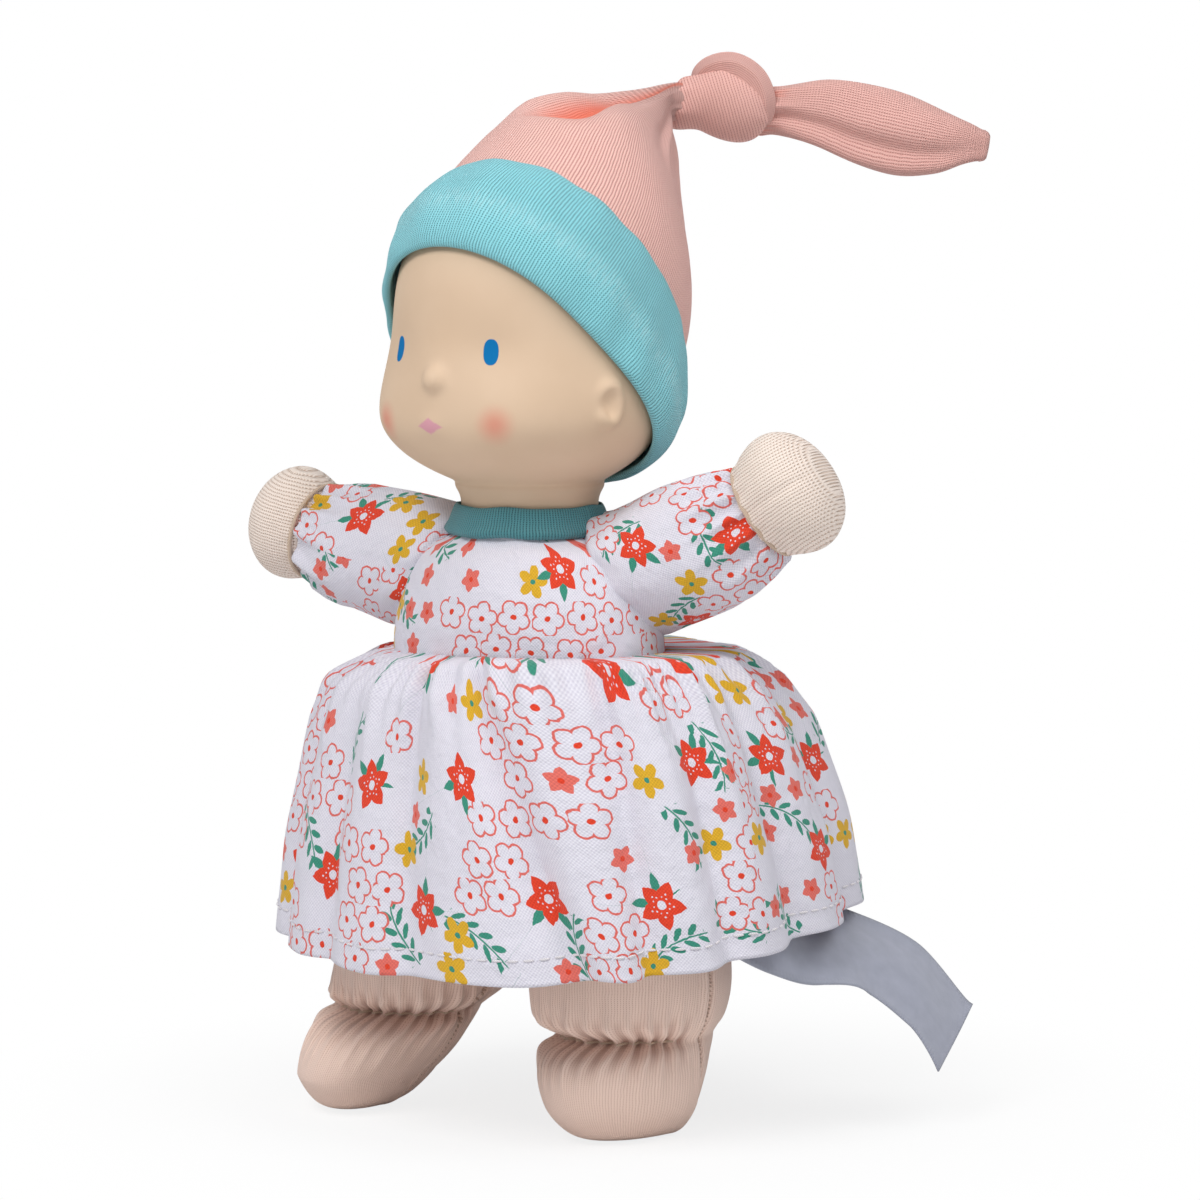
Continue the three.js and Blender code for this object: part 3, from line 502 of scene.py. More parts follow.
def head_ring(height):
    """The head's half width, front reach and back reach at a height"""
    half, front, back = through(head_stations, (np.asarray(height, float) - HEAD_FOOT) / HEAD_HEIGHT)
    return half * HEAD_HALF, front * HEAD_FRONT, back * HEAD_BACK


def on_head(height, turn, out=0.0):
    """A point on the head, turned in degrees from the middle of the face towards the doll's left"""
    half, front, back = head_ring(height)
    angle = radians(turn)
    reach = np.where(cos(angle) > 0, front, back)
    return np.array([(half + out) * sin(angle), -(reach + out) * cos(angle), height])


EYE_HEIGHT = HEAD_FOOT + 30
EYE_TURNS = (25, -26.5)
EYE_TALL = 2.85
EYE_WIDE = 1.72
NOSE_HEIGHT = HEAD_FOOT + 24.5
LIP_HEIGHT = HEAD_FOOT + 13.6
BLUSH_HEIGHT = HEAD_FOOT + 14.2
BLUSH_TURN = 29
EAR_HEIGHT = HEAD_FOOT + 18.5
EAR_TURN = 73


def head_rubber():
    """Matte moulded rubber with the eyes, the lips and the blush painted on it"""
    finish = Finish("head_rubber")
    place = finish.object_place()

    def painted_at(middle, turn):
        """Millimetres across, up and out from a point of the face"""
        across = (cos(radians(turn)), sin(radians(turn)), 0)
        outward = (sin(radians(turn)), -cos(radians(turn)), 0)
        away = finish.node("VectorMath", {"operation": "SUBTRACT"}, {0: place, 1: tuple(metres(middle))})
        sides = [finish.node("VectorMath", {"operation": "DOT_PRODUCT"}, {0: away, 1: side}, out="Value")
                 for side in (across, (0, 0, 1), outward)]
        return [side / MM for side in sides]

    mottled = finish.noise(place, 60, 3)
    colour = finish.mix(mottled, rgb("#d3b699"), rgb("#dfc4a9"))
    for turn in (BLUSH_TURN, -BLUSH_TURN):
        across, up, out = painted_at(on_head(BLUSH_HEIGHT, turn), turn)
        blush = finish.ease(finish.length(across, up) + (mottled - 0.5) * 1.2, 5.6, 0) * (out > -12)
        colour = finish.mix(blush * 0.55, colour, rgb("#dc7060"))
    across, up, out = painted_at(on_head(LIP_HEIGHT, 0), 0)
    lozenge = abs(across) / 3.5 + abs(up + abs(across) * 0.05) / 1.85
    wavy = lozenge + (finish.noise(place, 700, 2) - 0.5) * 0.3
    lips = finish.under(wavy, 0.98, 0.16) * (out > -6)
    colour = finish.mix(lips * 0.85, colour, rgb("#d795a8"))
    eyes = []
    for turn in EYE_TURNS:
        across, up, out = painted_at(on_head(EYE_HEIGHT, turn), turn)
        oval = (abs(up) / EYE_TALL) ** 2.4 + (abs(across) / EYE_WIDE) ** 2.4
        eyes.append(finish.under(oval, 1, 0.09) * (out > -6))
    painted = finish.most(*eyes)
    colour = finish.mix(painted, colour, rgb("#0070ad"))
    height = finish.noise(place, 2600, 2) * 0.12 + painted
    return finish.surface(Base_Color=colour, Roughness=0.62 + painted * 0.2, Specular_IOR_Level=0.2,
                          Normal=finish.bump(height, 0.00008))


# Making pieces

def deselect():
    bpy.ops.object.select_all(action="DESELECT")


def select_only(obj):
    deselect()
    obj.select_set(True)
    bpy.context.view_layer.objects.active = obj


def editing(obj, *steps):
    """Runs steps in edit mode on the whole of a piece"""
    select_only(obj)
    bpy.ops.object.mode_set(mode="EDIT")
    bpy.ops.mesh.select_all(action="SELECT")
    for step in steps:
        step()
    bpy.ops.object.mode_set(mode="OBJECT")


def outward():
    bpy.ops.mesh.normals_make_consistent(inside=False)


def merge_seams():
    bpy.ops.mesh.remove_doubles(threshold=0.00002)


def modified(obj, kind, **settings):
    """Adds a modifier with its settings and applies it"""
    modifier = obj.modifiers.new(kind.lower(), kind)
    for name, value in settings.items():
        setattr(modifier, name, value)
    select_only(obj)
    bpy.ops.object.modifier_apply(modifier=modifier.name)


def corners(obj):
    """A mesh's vertex places, in metres"""
    flat = np.empty(len(obj.data.vertices) * 3)
    obj.data.vertices.foreach_get("co", flat)
    return flat.reshape(-1, 3)


def set_corners(obj, places):
    obj.data.vertices.foreach_set("co", np.ascontiguousarray(places, float).ravel())
    obj.data.update()


def cloth(name, across, along, place, flat, start=(0, 0), closed=True):
    """A skin of cloth from a grid. place(u, v) gives its points, flat its cut size in millimetres."""
    deselect()
    bpy.ops.mesh.primitive_grid_add(x_subdivisions=across, y_subdivisions=along, size=2)
    obj = bpy.context.object
    obj.name = name
    obj.data.name = name
    grid = (corners(obj) + 1) / 2
    set_corners(obj, metres(place(grid[:, 0], grid[:, 1])))
    layer = obj.data.uv_layers[0]
    layer.name = "UVMap"
    places = np.empty(len(layer.data) * 2)
    layer.data.foreach_get("uv", places)
    places = (places.reshape(-1, 2) * flat + start) * MM
    layer.data.foreach_set("uv", places.ravel())
    editing(obj, *([merge_seams, outward] if closed else [outward]))
    select_only(obj)
    bpy.ops.object.shade_smooth()
    return obj


def lay_flat(obj, across, along):
    """Lays a piece's cloth places straight on it, along two directions"""
    places = corners(obj)
    flat = np.stack([places @ across, places @ along], 1)
    order = np.empty(len(obj.data.loops), dtype=np.int32)
    obj.data.loops.foreach_get("vertex_index", order)
    obj.data.uv_layers["UVMap"].data.foreach_set("uv", flat[order].ravel())


def finished(obj, slot, material=None):
    """Gives a piece its slot's finish, or a finish of its own"""
    obj.data.materials.clear()
    obj.data.materials.append(material or slots[slot])


def ring(angle, half, front, back):
    """Level points round an oval with its own reach to the front and to the back"""
    reach = np.where(sin(angle) < 0, front, back)
    return half * cos(angle), reach * sin(angle)


def bump_at(distance, width):
    return np.exp(-(distance / width) ** 2)


def turned_from(angle, degrees):
    """How far an angle lies from a direction given in degrees, within half a turn"""
    return np.angle(np.exp(1j * (angle - radians(degrees))))


def unit(rows):
    return rows / np.linalg.norm(rows, axis=1)[:, None]


def around(middle, first, second, wide, tall, angle):
    """Points round a middle, on ovals that two directions span"""
    return middle + first * (wide * cos(angle))[:, None] + second * (tall * sin(angle))[:, None]


def lerp(a, b, share):
    return a + (b - a) * share


def ease(share):
    share = np.clip(share, 0, 1)
    return share * share * (3 - 2 * share)


# Places on the flat knit of a leg and of the crown
LEG_GIRTH = 112.2
ANKLE_ALONG = 48.9
CROWN_GIRTH = 214.5
POCKET_ANGLE = -84
POCKET_ACROSS = CROWN_GIRTH * (1 + POCKET_ANGLE / 360)

# Finishes by slot. The binding, the knot and the tail have finishes of their own in the same slots.
slots = {
    "head_rubber": head_rubber(),
    "printed_cotton": printed_cotton(),
    "stuffing": stuffing(),
    "sewing_thread": spun_thread(),
    "turquoise_rib_knit": knit("turquoise_rib_knit", "#95dde6", "#126a79", 0.72, 0.62, 1.0, tint=cuff_ridge_highlight),
    "pink_knit": knit("pink_knit", "#f7c9bf", "#c5776c", 0.78, 0.6, 0.4, tint=crown_pocket_shade),
    "hand_knit": knit("hand_knit", "#f8e8dc", "#cdb09b", 0.74, 0.6, 0.7),
    "leg_knit": knit("leg_knit", "#fbdfd0", "#dcb6a4", 0.56, 0.5, 0.7, 0.0001, ankle_fold_shade),
    "satin_ribbon": satin_ribbon(),
}
# The binding's finish is a darker copy of the turquoise rib: painted shade, where it sits in the head's
# shadow
shaded_binding_knit = knit("shaded_binding_knit", "#5a959d", "#18444d", 0.72, 0.62)
tail_knit = knit("tail_knit", "#eebbb1", "#c6827a", 0.7, 0.56, 0.55, tint=knot_crease_shade)


# Head: rings extruded from the foot of the neck up, then rounded, then its features raised

def add_head():
    foot = BINDING_FOOT - 7
    rings = [(BINDING_TOP + rise, radius, radius, radius) for rise, radius in NECK_FILLET]
    for share, half, front, back in head_stations:
        height = HEAD_FOOT + share * HEAD_HEIGHT
        rings.append((height, half * HEAD_HALF, front * HEAD_FRONT, back * HEAD_BACK))
    deselect()
    bpy.ops.mesh.primitive_circle_add(vertices=40, radius=NECK_FILLET[0][1] * MM, fill_type="NGON",
                                      location=metres([0, 0, foot]))
    head = bpy.context.object
    head.name = "head"
    bpy.ops.object.mode_set(mode="EDIT")
    bpy.ops.mesh.select_all(action="SELECT")
    height, half, deep, middle = foot, NECK_FILLET[0][1], NECK_FILLET[0][1], 0
    for new_height, new_half, front, back in rings:
        new_deep, new_middle = (front + back) / 2, (back - front) / 2
        move = Vector((0, new_middle - middle, new_height - height)) * MM
        bpy.ops.mesh.extrude_region_move(TRANSFORM_OT_translate={"value": move})
        centre = metres([0, new_middle, new_height])
        bpy.ops.transform.resize(value=(new_half / half, new_deep / deep, 1), center_override=centre)
        height, half, deep, middle = new_height, new_half, new_deep, new_middle
    bpy.ops.object.mode_set(mode="OBJECT")
    bpy.ops.object.transform_apply()
    editing(head, outward)
    modified(head, "SUBSURF", levels=3, render_levels=3)

    places = corners(head) / MM - AXIS
    outwards = places * [1, 1, 0]
    outwards /= np.maximum(np.linalg.norm(outwards, axis=1), 0.001)[:, None]

    def raised(middle, wide, tall, lift, edge=1):
        """Lifts the rubber round a point, out from the head's axis. A higher edge gives a flatter top."""
        nonlocal places
        gap = places - middle
        level = np.hypot(gap[:, 0], gap[:, 1])
        share = np.exp(-((level / wide) ** 2 + (gap[:, 2] / tall) ** 2) ** edge)
        places = places + outwards * (share * lift)[:, None]

    raised(on_head(NOSE_HEIGHT - 0.4, 2), 2.7, 2.6, 2.5, 1.4)
    raised(on_head(NOSE_HEIGHT + 1.5, 1), 6, 7, 0.7)
    raised(on_head(NOSE_HEIGHT - 2, 2), 3.6, 1.3, 0.35)
    raised(on_head(LIP_HEIGHT + 0.4, 0), 3.6, 2.2, 0.55)
    raised(on_head(LIP_HEIGHT - 4.5, 0), 4.5, 2.0, -0.35)
    for side in (1, -1):
        raised(on_head(EYE_HEIGHT, side * EYE_TURNS[0]), 6.5, 6, -0.75)
        raised(on_head(HEAD_FOOT + 15, side * 34), 9, 9, 0.9)
        ear = on_head(EAR_HEIGHT, side * EAR_TURN)
        for step, angle in enumerate(radians(np.linspace(-150, 150, 25))):
            rim = ear + [0, 2.6 * cos(angle), 4.4 * sin(angle)]
            lift = 0.7 if step < 18 else 0.385
            places = places + outwards * (bump_at(np.linalg.norm(places - rim, axis=1), 1.25) * lift)[:, None]
        raised(ear - [0, 0.6, 0], 1.7, 2.6, -0.7)
        raised(ear, 4.5, 6, 0.9)
    set_corners(head, metres(places))
    bpy.ops.object.shade_smooth()
    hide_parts("head_shell", "eye_paint_left", "eye_paint_right", "lip_paint")
    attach(head, "head")
    finished(head, "head_rubber")


# Torso in its bodice
WAIST_HALF = 34
WAIST_DEEP = 25
BODICE_NECK = NECK_RADIUS + 1.2

# Up the torso: a share of its height, and how far its width and depth are from the neck's to the waist's
torso_stations = [
    (0, 0.76, 0.7), (0.1, 1, 1), (0.32, 1.02, 1.02), (0.56, 0.97, 1), (0.73, 0.86, 0.82),
    (0.86, 0.68, 0.56), (0.95, 0.4, 0.28), (1, 0, 0),
]


def torso_ring(height):
    """The torso's half width and depth at a height"""
    share = (np.asarray(height, float) - BODICE_FOOT) / (BODICE_TOP - BODICE_FOOT)
    wide, deep = through(torso_stations, share)
    return lerp(BODICE_NECK, WAIST_HALF, wide), lerp(BODICE_NECK, WAIST_DEEP, deep)


def add_bodice():
    """The bodice, front and back in one skin over the torso's stuffing"""
    def place(u, v):
        angle = 2 * pi * u
        height = lerp(BODICE_FOOT, BINDING_FOOT + 1, v)
        half, deep = torso_ring(np.minimum(height, BODICE_TOP))
        drag = 0.35 * sin(11 * angle + 3 * v) * ease((v - 0.55) / 0.4) * sin(2.2 * angle)
        soft = drag + 0.4 * sin(3 * angle + 7 * v) * sin(pi * v)
        x, y = ring(angle, half + soft, deep + soft, deep + soft)
        return np.stack([x, y, height], 1)

    bodice = cloth("bodice", 96, 36, place, (205, 46), (31, 12))
    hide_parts("bodice_front", "bodice_back", "torso_stuffing")
    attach(bodice, "torso")
    finished(bodice, "printed_cotton")


def add_collar_binding():
    """Rib cloth folded over the neck of the dress, with a rolled lower edge"""
    inner = NECK_RADIUS - 0.3
    tall = BINDING_TOP - BINDING_FOOT
    profile = [
        (0, 0.3, 0.25), (0.1, 1.2, 0), (0.2, 2.7, 0), (0.3, 3.4, 0.14), (0.4, 3, 0.27),
        (0.5, 2.4, 0.42), (0.6, 1.9, 0.62), (0.7, 1.4, 0.82), (0.8, 0.8, 0.95), (0.9, 0.2, 0.92), (1, 0, 0.7),
    ]

    def place(u, v):
        angle = 2 * pi * u
        out, rise = through(profile, v)
        wave = 0.18 * sin(5 * angle + 1) + 0.1 * sin(9 * angle)
        radius = inner + out * (1 + 0.08 * sin(7 * angle))
        height = BINDING_FOOT + rise * tall + wave
        return np.stack([radius * cos(angle), radius * sin(angle), height], 1)

    binding = cloth("neck_binding", 120, 20, place, (120, 18), (3, 2))
    modified(binding, "SOLIDIFY", thickness=0.4 * MM, offset=-1)
    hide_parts("collar_binding")
    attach(binding, "torso")
    finished(binding, "turquoise_rib_knit", shaded_binding_knit)


# Skirt
SKIRT_HALF = 66
SKIRT_FRONT = 50
SKIRT_BACK = 82
SKIRT_SWAY = 3
FOLD_DEPTH = 2.6
VALLEY_DEPTH = 2
HEM_TURNED_UP = 7
HEM_STITCHES = 132
HEM_STITCHES_RISE = 5.6

# How the print is laid over the skirt, and the cut size of its cloth with the hem
SKIRT_FLAT = (430, 66)

# A share of the skirt's length, and how far it has opened in front and behind there
skirt_stations = [
    (0, 0, 0), (0.03, 0.24, 0.4), (0.1, 0.4, 0.62), (0.26, 0.54, 0.8), (0.5, 0.72, 0.92),
    (0.76, 0.88, 0.98), (1, 1, 1), (1.2, 1.05, 1.02),
]

# The main folds, from the doll's right front round by its left: each valley's angle at the waist and at the
# hem, in degrees from the doll's left towards its back, and its share of the fold depth
skirt_folds = np.array([
    (-140, -134, 0.9), (-118, -112, 0.8), (-96, -88, 0.9), (-76, -47, 1.2), (-38, -33, 0.9), (-16, -12, 0.8),
    (6, 9, 1), (28, 30, 0.8), (52, 50, 1.1), (75, 72, 0.8), (98, 96, 1), (122, 118, 0.8), (146, 143, 1.1),
    (172, 170, 0.8), (196, 200, 0.9), (220, 226, 0.9),
])

# The pleats of the gathered waist: a share of the length, and how deep the wide and the narrow ones are there
pleat_stations = [
    (0, 0.3, 0.75), (0.04, 0.9, 1), (0.1, 1.2, 0.6), (0.2, 0.75, 0.15), (0.4, 0.3, 0), (0.7, 0.12, 0),
    (1, 0.1, 0), (1.2, 0.1, 0),
]


def crease(phase):
    """A wave with narrow crests, as gathered cloth has. Its crests stand at whole turns."""
    return cos(phase) + 0.28 * cos(2 * phase)


def skirt_points(angle, share, inset=0.0):
    """Points of the skirt at angles round it and shares of its length from the waist"""
    front_open, back_open = through(skirt_stations, share)
    opened = (front_open + back_open) / 2
    wide_pleat, narrow_pleat = through(pleat_stations, share)
    half = lerp(WAIST_HALF + 0.8, SKIRT_HALF, opened)
    front = lerp(WAIST_DEEP + 0.8, SKIRT_FRONT, front_open)
    back = lerp(WAIST_DEEP + 0.8, SKIRT_BACK, back_open)
    waist_turn, hem_turn, depth = skirt_folds.T
    hem_angle = (np.degrees(angle) - hem_turn[0]) % 360 + hem_turn[0]
    phase = 2 * pi * np.interp(hem_angle, hem_turn, np.arange(len(hem_turn)))
    deep = np.interp(hem_angle, hem_turn, depth)
    lead = np.interp(hem_angle, hem_turn, waist_turn - hem_turn)
    within = np.clip(share, 0, 1)
    turn = radians(hem_angle + lead * (1 - within))
    strength = 1.45 - 0.65 * within
    valley = bump_at(sin(phase / 2), 0.24) * (1.1 - 0.8 * within)
    fold = -opened * deep * (FOLD_DEPTH * strength * crease(phase) / 1.28 + VALLEY_DEPTH * valley)
    drift = 0.9 * sin(3 * angle) + 0.5 * sin(5 * angle + 2)
    pleat = wide_pleat * crease(2 * phase + drift) * (0.8 + 0.3 * sin(4 * angle + 1))
    pleat = pleat + narrow_pleat * cos(4 * phase + 2 * drift)
    rumple = 0.5 * sin(7 * angle + 9 * share + 1) * sin(5 * angle - 6 * share) * sin(pi * within)
    slope = bump_at(share - 0.03, 0.06) * bump_at(turned_from(angle, 205), 0.9)
    grow = fold + pleat + rumple - inset - 6 * slope
    x, y = ring(turn, half + grow, front + grow, back + grow)
    puff = 2.4 * bump_at(share - 0.035, 0.035) * (0.75 + 0.4 * cos(2 * angle + 0.5))
    height = WAIST - share * (WAIST - HEM - HEM_RISE * sin(turn)) + puff * (1 - 0.8 * slope)
    height = height + 0.3 * opened * deep * sin(phase + 0.5)
    return np.stack([x + SKIRT_SWAY * share, y, height], -1)


def even_angles():
    """Angles round the skirt at which the cloth's threads lie evenly, from 0 to a full turn"""
    angles = np.linspace(0, 2 * pi, 1441)
    line = skirt_points(angles, np.full(1441, 0.8))
    steps = np.linalg.norm(np.diff(line, axis=0), axis=1)
    return angles, np.concatenate([[0], np.cumsum(steps)]) / steps.sum()


def skirt_blend(obj):
    tuple(metres([0, 0, WAIST - 6]))
    tuple(metres([0, 0, HEM + 12]))
    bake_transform(obj)


def add_skirt():
    turned = HEM_TURNED_UP / (WAIST - HEM)
    angles, shares = even_angles()

    def place(u, v):
        share = v * (1 + turned)
        inside = share > 1
        back_up = np.where(inside, 2 - share, share)
        inset = np.where(inside, 1.3 * ease((share - 1) / 0.02), 0.0)
        return skirt_points(np.interp(u, shares, angles), back_up, inset)

    skirt = cloth("skirt_cloth", 416, 84, place, (SKIRT_FLAT[0], SKIRT_FLAT[1] * (1 + turned)))
    modified(skirt, "SOLIDIFY", thickness=0.5 * MM, offset=-1)
    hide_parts("skirt")
    skirt_blend(skirt)
    finished(skirt, "printed_cotton")


def add_stitches(name, here, ahead, below, material, length):
    """Short stitches of thread from the places here towards ahead, each lying on the cloth"""
    deselect()
    bpy.ops.mesh.primitive_uv_sphere_add(segments=8, ring_count=6, radius=0.5 * MM)
    first = bpy.context.object
    bpy.ops.object.mode_set(mode="EDIT")
    bpy.ops.transform.resize(value=(length, 0.62, 0.5), center_override=(0, 0, 0))
    bpy.ops.object.mode_set(mode="OBJECT")
    deselect()
    made = []
    middle = here.mean(axis=0)
    for spot, next_spot, lower in zip(here, ahead, below):
        along = Vector(next_spot - spot).normalized()
        out = Vector(lower - spot).cross(along).normalized()
        outside = Vector((spot[0] - middle[0], spot[1] - middle[1], 0))
        out = out if out.dot(outside) > 0 else -out
        turn = Matrix((along, out.cross(along), out)).transposed().to_4x4()
        stitch = bpy.data.objects.new(name, first.data.copy())
        stitch.matrix_world = Matrix.Translation(Vector(metres(spot + np.array(out) * 0.12))) @ turn
        bpy.context.collection.objects.link(stitch)
        made.append(stitch)
    bpy.data.objects.remove(first)
    for stitch in made:
        stitch.select_set(True)
    bpy.context.view_layer.objects.active = made[0]
    bpy.ops.object.join()
    stitches = bpy.context.object
    bpy.ops.object.transform_apply()
    bpy.ops.object.shade_smooth()
    finished(stitches, "sewing_thread", material=material)
    return stitches


def add_hem_stitches():
    share = np.full(HEM_STITCHES, 1 - HEM_STITCHES_RISE / (WAIST - HEM))
    angles = np.interp((np.arange(HEM_STITCHES) + 0.5) / HEM_STITCHES, *even_angles()[::-1])
    lines = [skirt_points(angles + step, share + lower) for step, lower in ((0, 0), (0.004, 0), (0, 0.01))]
    stitches = add_stitches("hem_stitches", *lines, spun_thread("hem_thread", "#f4f2f8"), 2.6)
    skirt_blend(stitches)


# Arms. Each follows a line from inside the bodice to the wrist, then out along the hand.
# The sleeve's stations: a share of its length, half its width and half its height. The hand's: a share of its
# length, how far out and the radius. ARMS gives the side, the lift and turn in degrees, the hand's size and
# where the sleeve's cloth is cut from the print.
SLEEVE_LENGTH = 29.5
UPRIGHT = np.array([0, 0, 1.0])
ARMS = {"left": (1, 33, 18, 1, (7, 61)), "right": (-1, 14, 5, 0.94, (140, 23))}
sleeve_stations = [
    (0, 12, 13), (0.07, 14.2, 15.2), (0.2, 15, 15.6), (0.4, 15.2, 15.5), (0.6, 15.2, 15.3),
    (0.76, 14.4, 14.6), (0.87, 13, 13.2), (0.94, 11.9, 12), (0.98, 11.4, 11.4), (1, 9.6, 9.6),
]
hand_stations = [
    (0, -2.2, 9), (0.05, -0.6, 11.2), (0.12, 0.6, 11.9), (0.3, 3.3, 13.3), (0.45, 6.8, 14.2),
    (0.6, 10.3, 13.7), (0.74, 13.7, 11.4), (0.86, 15.9, 8), (0.95, 16.86, 4.2), (1, 17, 0),
]


def arm_frame(name):
    """The shoulder's place and the arm's own directions: out along it, up, and to the side"""
    side, lift, turn, _, _ = ARMS[name]
    level = np.array([cos(radians(turn)), sin(radians(turn)), 0]) * side
    along = level * cos(radians(lift)) + UPRIGHT * sin(radians(lift))
    up = UPRIGHT * cos(radians(lift)) - level * sin(radians(lift))
    return place_of(f"{name}_arm_raise"), along, up, np.cross(up, along), level


def add_sleeve(name):
    shoulder, along, up, aside, level = arm_frame(name)
    side, _, _, _, start = ARMS[name]
    root = shoulder - level * 9.5 + UPRIGHT
    wrist = shoulder + along * SLEEVE_LENGTH
    lean = UPRIGHT * 0.86 - level * 0.5
    seed = 1.0 if side > 0 else 4.0

    def place(u, v):
        angle = 2 * pi * u
        t = v[:, None]
        bend = shoulder + along * 6
        middle = root * (1 - t) ** 2 + 2 * bend * t * (1 - t) + wrist * t ** 2
        turned = ease(v / 0.55)[:, None]
        tall_way = unit(lean * (1 - turned) + up * turned)
        wide, tall = through(sleeve_stations, v)
        gather = ease((v - 0.6) / 0.35)
        pucker = gather * 0.85 * crease(14 * angle + 1.5 * sin(2 * angle + seed))
        pucker = pucker + gather * 0.5 * cos(7 * angle + seed)
        root_pull = 0.45 * cos(9 * angle + seed) * ease((0.3 - v) / 0.2)
        soft = 0.55 * sin(2 * angle + 5 * v + seed) * sin(pi * v) + 0.35 * sin(3 * angle - 6 * v)
        out = pucker + soft + root_pull
        return around(middle, aside, tall_way, wide + out, tall + out, angle)

    sleeve = cloth(f"{name}_sleeve_cloth", 200, 64, place, (98, 44), start)
    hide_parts(f"{name}_sleeve", f"{name}_arm_stuffing")
    root_end = shoulder + level
    tuple(metres(root - level * 2))
    tuple(metres(root_end + along * 8))
    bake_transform(sleeve)
    finished(sleeve, "printed_cotton")


def add_hand(name):
    shoulder, along, up, aside, _ = arm_frame(name)
    start = shoulder + along * (SLEEVE_LENGTH + 1)

    def place(u, v):
        angle = 2 * pi * u
        reach, radius = through(hand_stations, v) * ARMS[name][3]
        seam = -0.55 * bump_at(abs(u - 0.5) * 2 * pi * 13, 0.9) * sin(pi * v)
        flat = 1 - 0.06 * sin(pi * v)
        gather = 0.3 * cos(15 * angle) * ease((0.25 - v) / 0.2)
        size = np.maximum(radius + (seam + gather) * np.minimum(radius / 6, 1), 0)
        return around(start + along * reach[:, None], aside, up, size * flat, size, angle)

    hand = cloth(f"{name}_hand_knit", 120, 48, place, (84, 34))
    lay_flat(hand, up, along)
    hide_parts(f"{name}_hand")
    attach(hand, f"{name}_arm")
    finished(hand, "hand_knit")


def add_wrist_thread(name):
    """The gathering thread, pulled tight in the fold between the sleeve and the hand"""
    shoulder, along, up, aside, _ = arm_frame(name)
    middle = shoulder + along * (SLEEVE_LENGTH + 0.6)
    turn = Matrix([list(aside), list(up), list(along)]).transposed().to_euler()
    deselect()
    bpy.ops.mesh.primitive_torus_add(location=metres(middle), rotation=turn, major_segments=64,
                                     minor_segments=10, major_radius=11.2 * MM, minor_radius=0.5 * MM)
    thread = bpy.context.object
    thread.name = f"{name}_wrist_gather_thread"
    bpy.ops.object.transform_apply()
    bpy.ops.object.shade_smooth()
    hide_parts(f"{name}_wrist_thread")
    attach(thread, f"{name}_arm")
    finished(thread, "sewing_thread")


# Legs and seat
ANKLE = 23
ANKLE_SHARE = 0.557
FOOT_SPREAD = 38
HIP_SPREAD = 28
FOOT_SHIFT = -9
FOOT_FORWARD = 0.5
FOOT_TURN = radians(10)
TOE_IN = radians(13)
SEAT_RADIUS = 22.5
SEAT_REACH = 49
SEAM_SETBACK = {1: 5, -1: -4}

# Down a leg: a share of the way, the height, and the half width, front reach and back reach there
leg_stations = [
    (0, 62, 14, 16, 16), (0.05, 60.5, 17.3, 20, 21), (0.1, 57, 19.3, 22.3, 24),
    (0.25, 44.6, 20.5, 22.8, 26.6), (0.4, 34.7, 20.6, 23.3, 27.4), (0.5, 27.6, 19.4, 22.3, 24.6),
    (0.545, 24.2, 17.6, 18.2, 21.2),
    (0.56, 22.8, 16.8, 17.6, 20), (0.58, 21.4, 17.2, 20.6, 18.8), (0.62, 18.6, 17.4, 24.4, 16.8),
    (0.69, 13.6, 17, 26.4, 14.6), (0.77, 8, 15.2, 25.6, 12.2), (0.84, 3.6, 12.3, 22.2, 10.2),
    (0.89, 1, 9.4, 18, 8.4), (0.94, 0, 6.2, 12, 6), (1, 0, 0, 0, 0),
]


def leg_points(side, angle, v, out=0.0):
    """Points of a leg at angles round it and shares of its way down to the middle of the sole"""
    height, half, front, back = through(leg_stations, v)
    ahead = ease(-sin(angle) * 1.6 + 0.25) * (v < 0.8)
    near_ankle = bump_at(height - ANKLE, 7) * ahead
    puckers = near_ankle * (crease(31 * angle + 1.3 * sin(3 * angle)) + 0.6 * cos(13 * angle))
    pinch = -2.2 * bump_at(height - ANKLE, 1.5) * ahead
    soft = 0.35 * sin(3 * angle + height * 0.2 + side) * np.clip(height / 8, 0, 1)
    x, y = ring(angle, half, front, back)
    behind = y - SEAM_SETBACK[side]
    seam = -1.3 * bump_at(behind, 0.9) * (half > 9) + 0.6 * bump_at(behind + 2.4, 1.3)
    grow = (puckers + pinch + soft + seam + out) * np.minimum(half / 8, 1)
    x, y = x + grow * cos(angle), y + grow * sin(angle)
    drop = 1 - np.minimum(height / HIP, 1)
    turn = (FOOT_TURN - side * TOE_IN) * drop
    foot_x, foot_y = side * FOOT_SPREAD + FOOT_SHIFT, -FOOT_FORWARD
    step = np.interp(drop, (0, 0.3, 0.6, 0.75, 0.88, 1), (0, 0.03, 0.22, 0.55, 0.82, 0.9))
    centre_x = lerp(side * HIP_SPREAD, foot_x * cos(FOOT_TURN) - foot_y * sin(FOOT_TURN), step)
    centre_y = (foot_x * sin(FOOT_TURN) + foot_y * cos(FOOT_TURN)) * step
    return np.stack([
        centre_x + x * cos(turn) - y * sin(turn),
        centre_y + x * sin(turn) + y * cos(turn),
        np.maximum(height, 0),
    ], -1)


def add_leg(name, side):
    leg = cloth(f"{name}_leg_knit", 300, 124, lambda u, v: leg_points(side, 2 * pi * u, v), (LEG_GIRTH, 88))
    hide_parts(f"{name}_leg_front", f"{name}_leg_back", f"{name}_leg_stuffing")
    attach(leg, f"{name}_leg")
    finished(leg, "leg_knit")


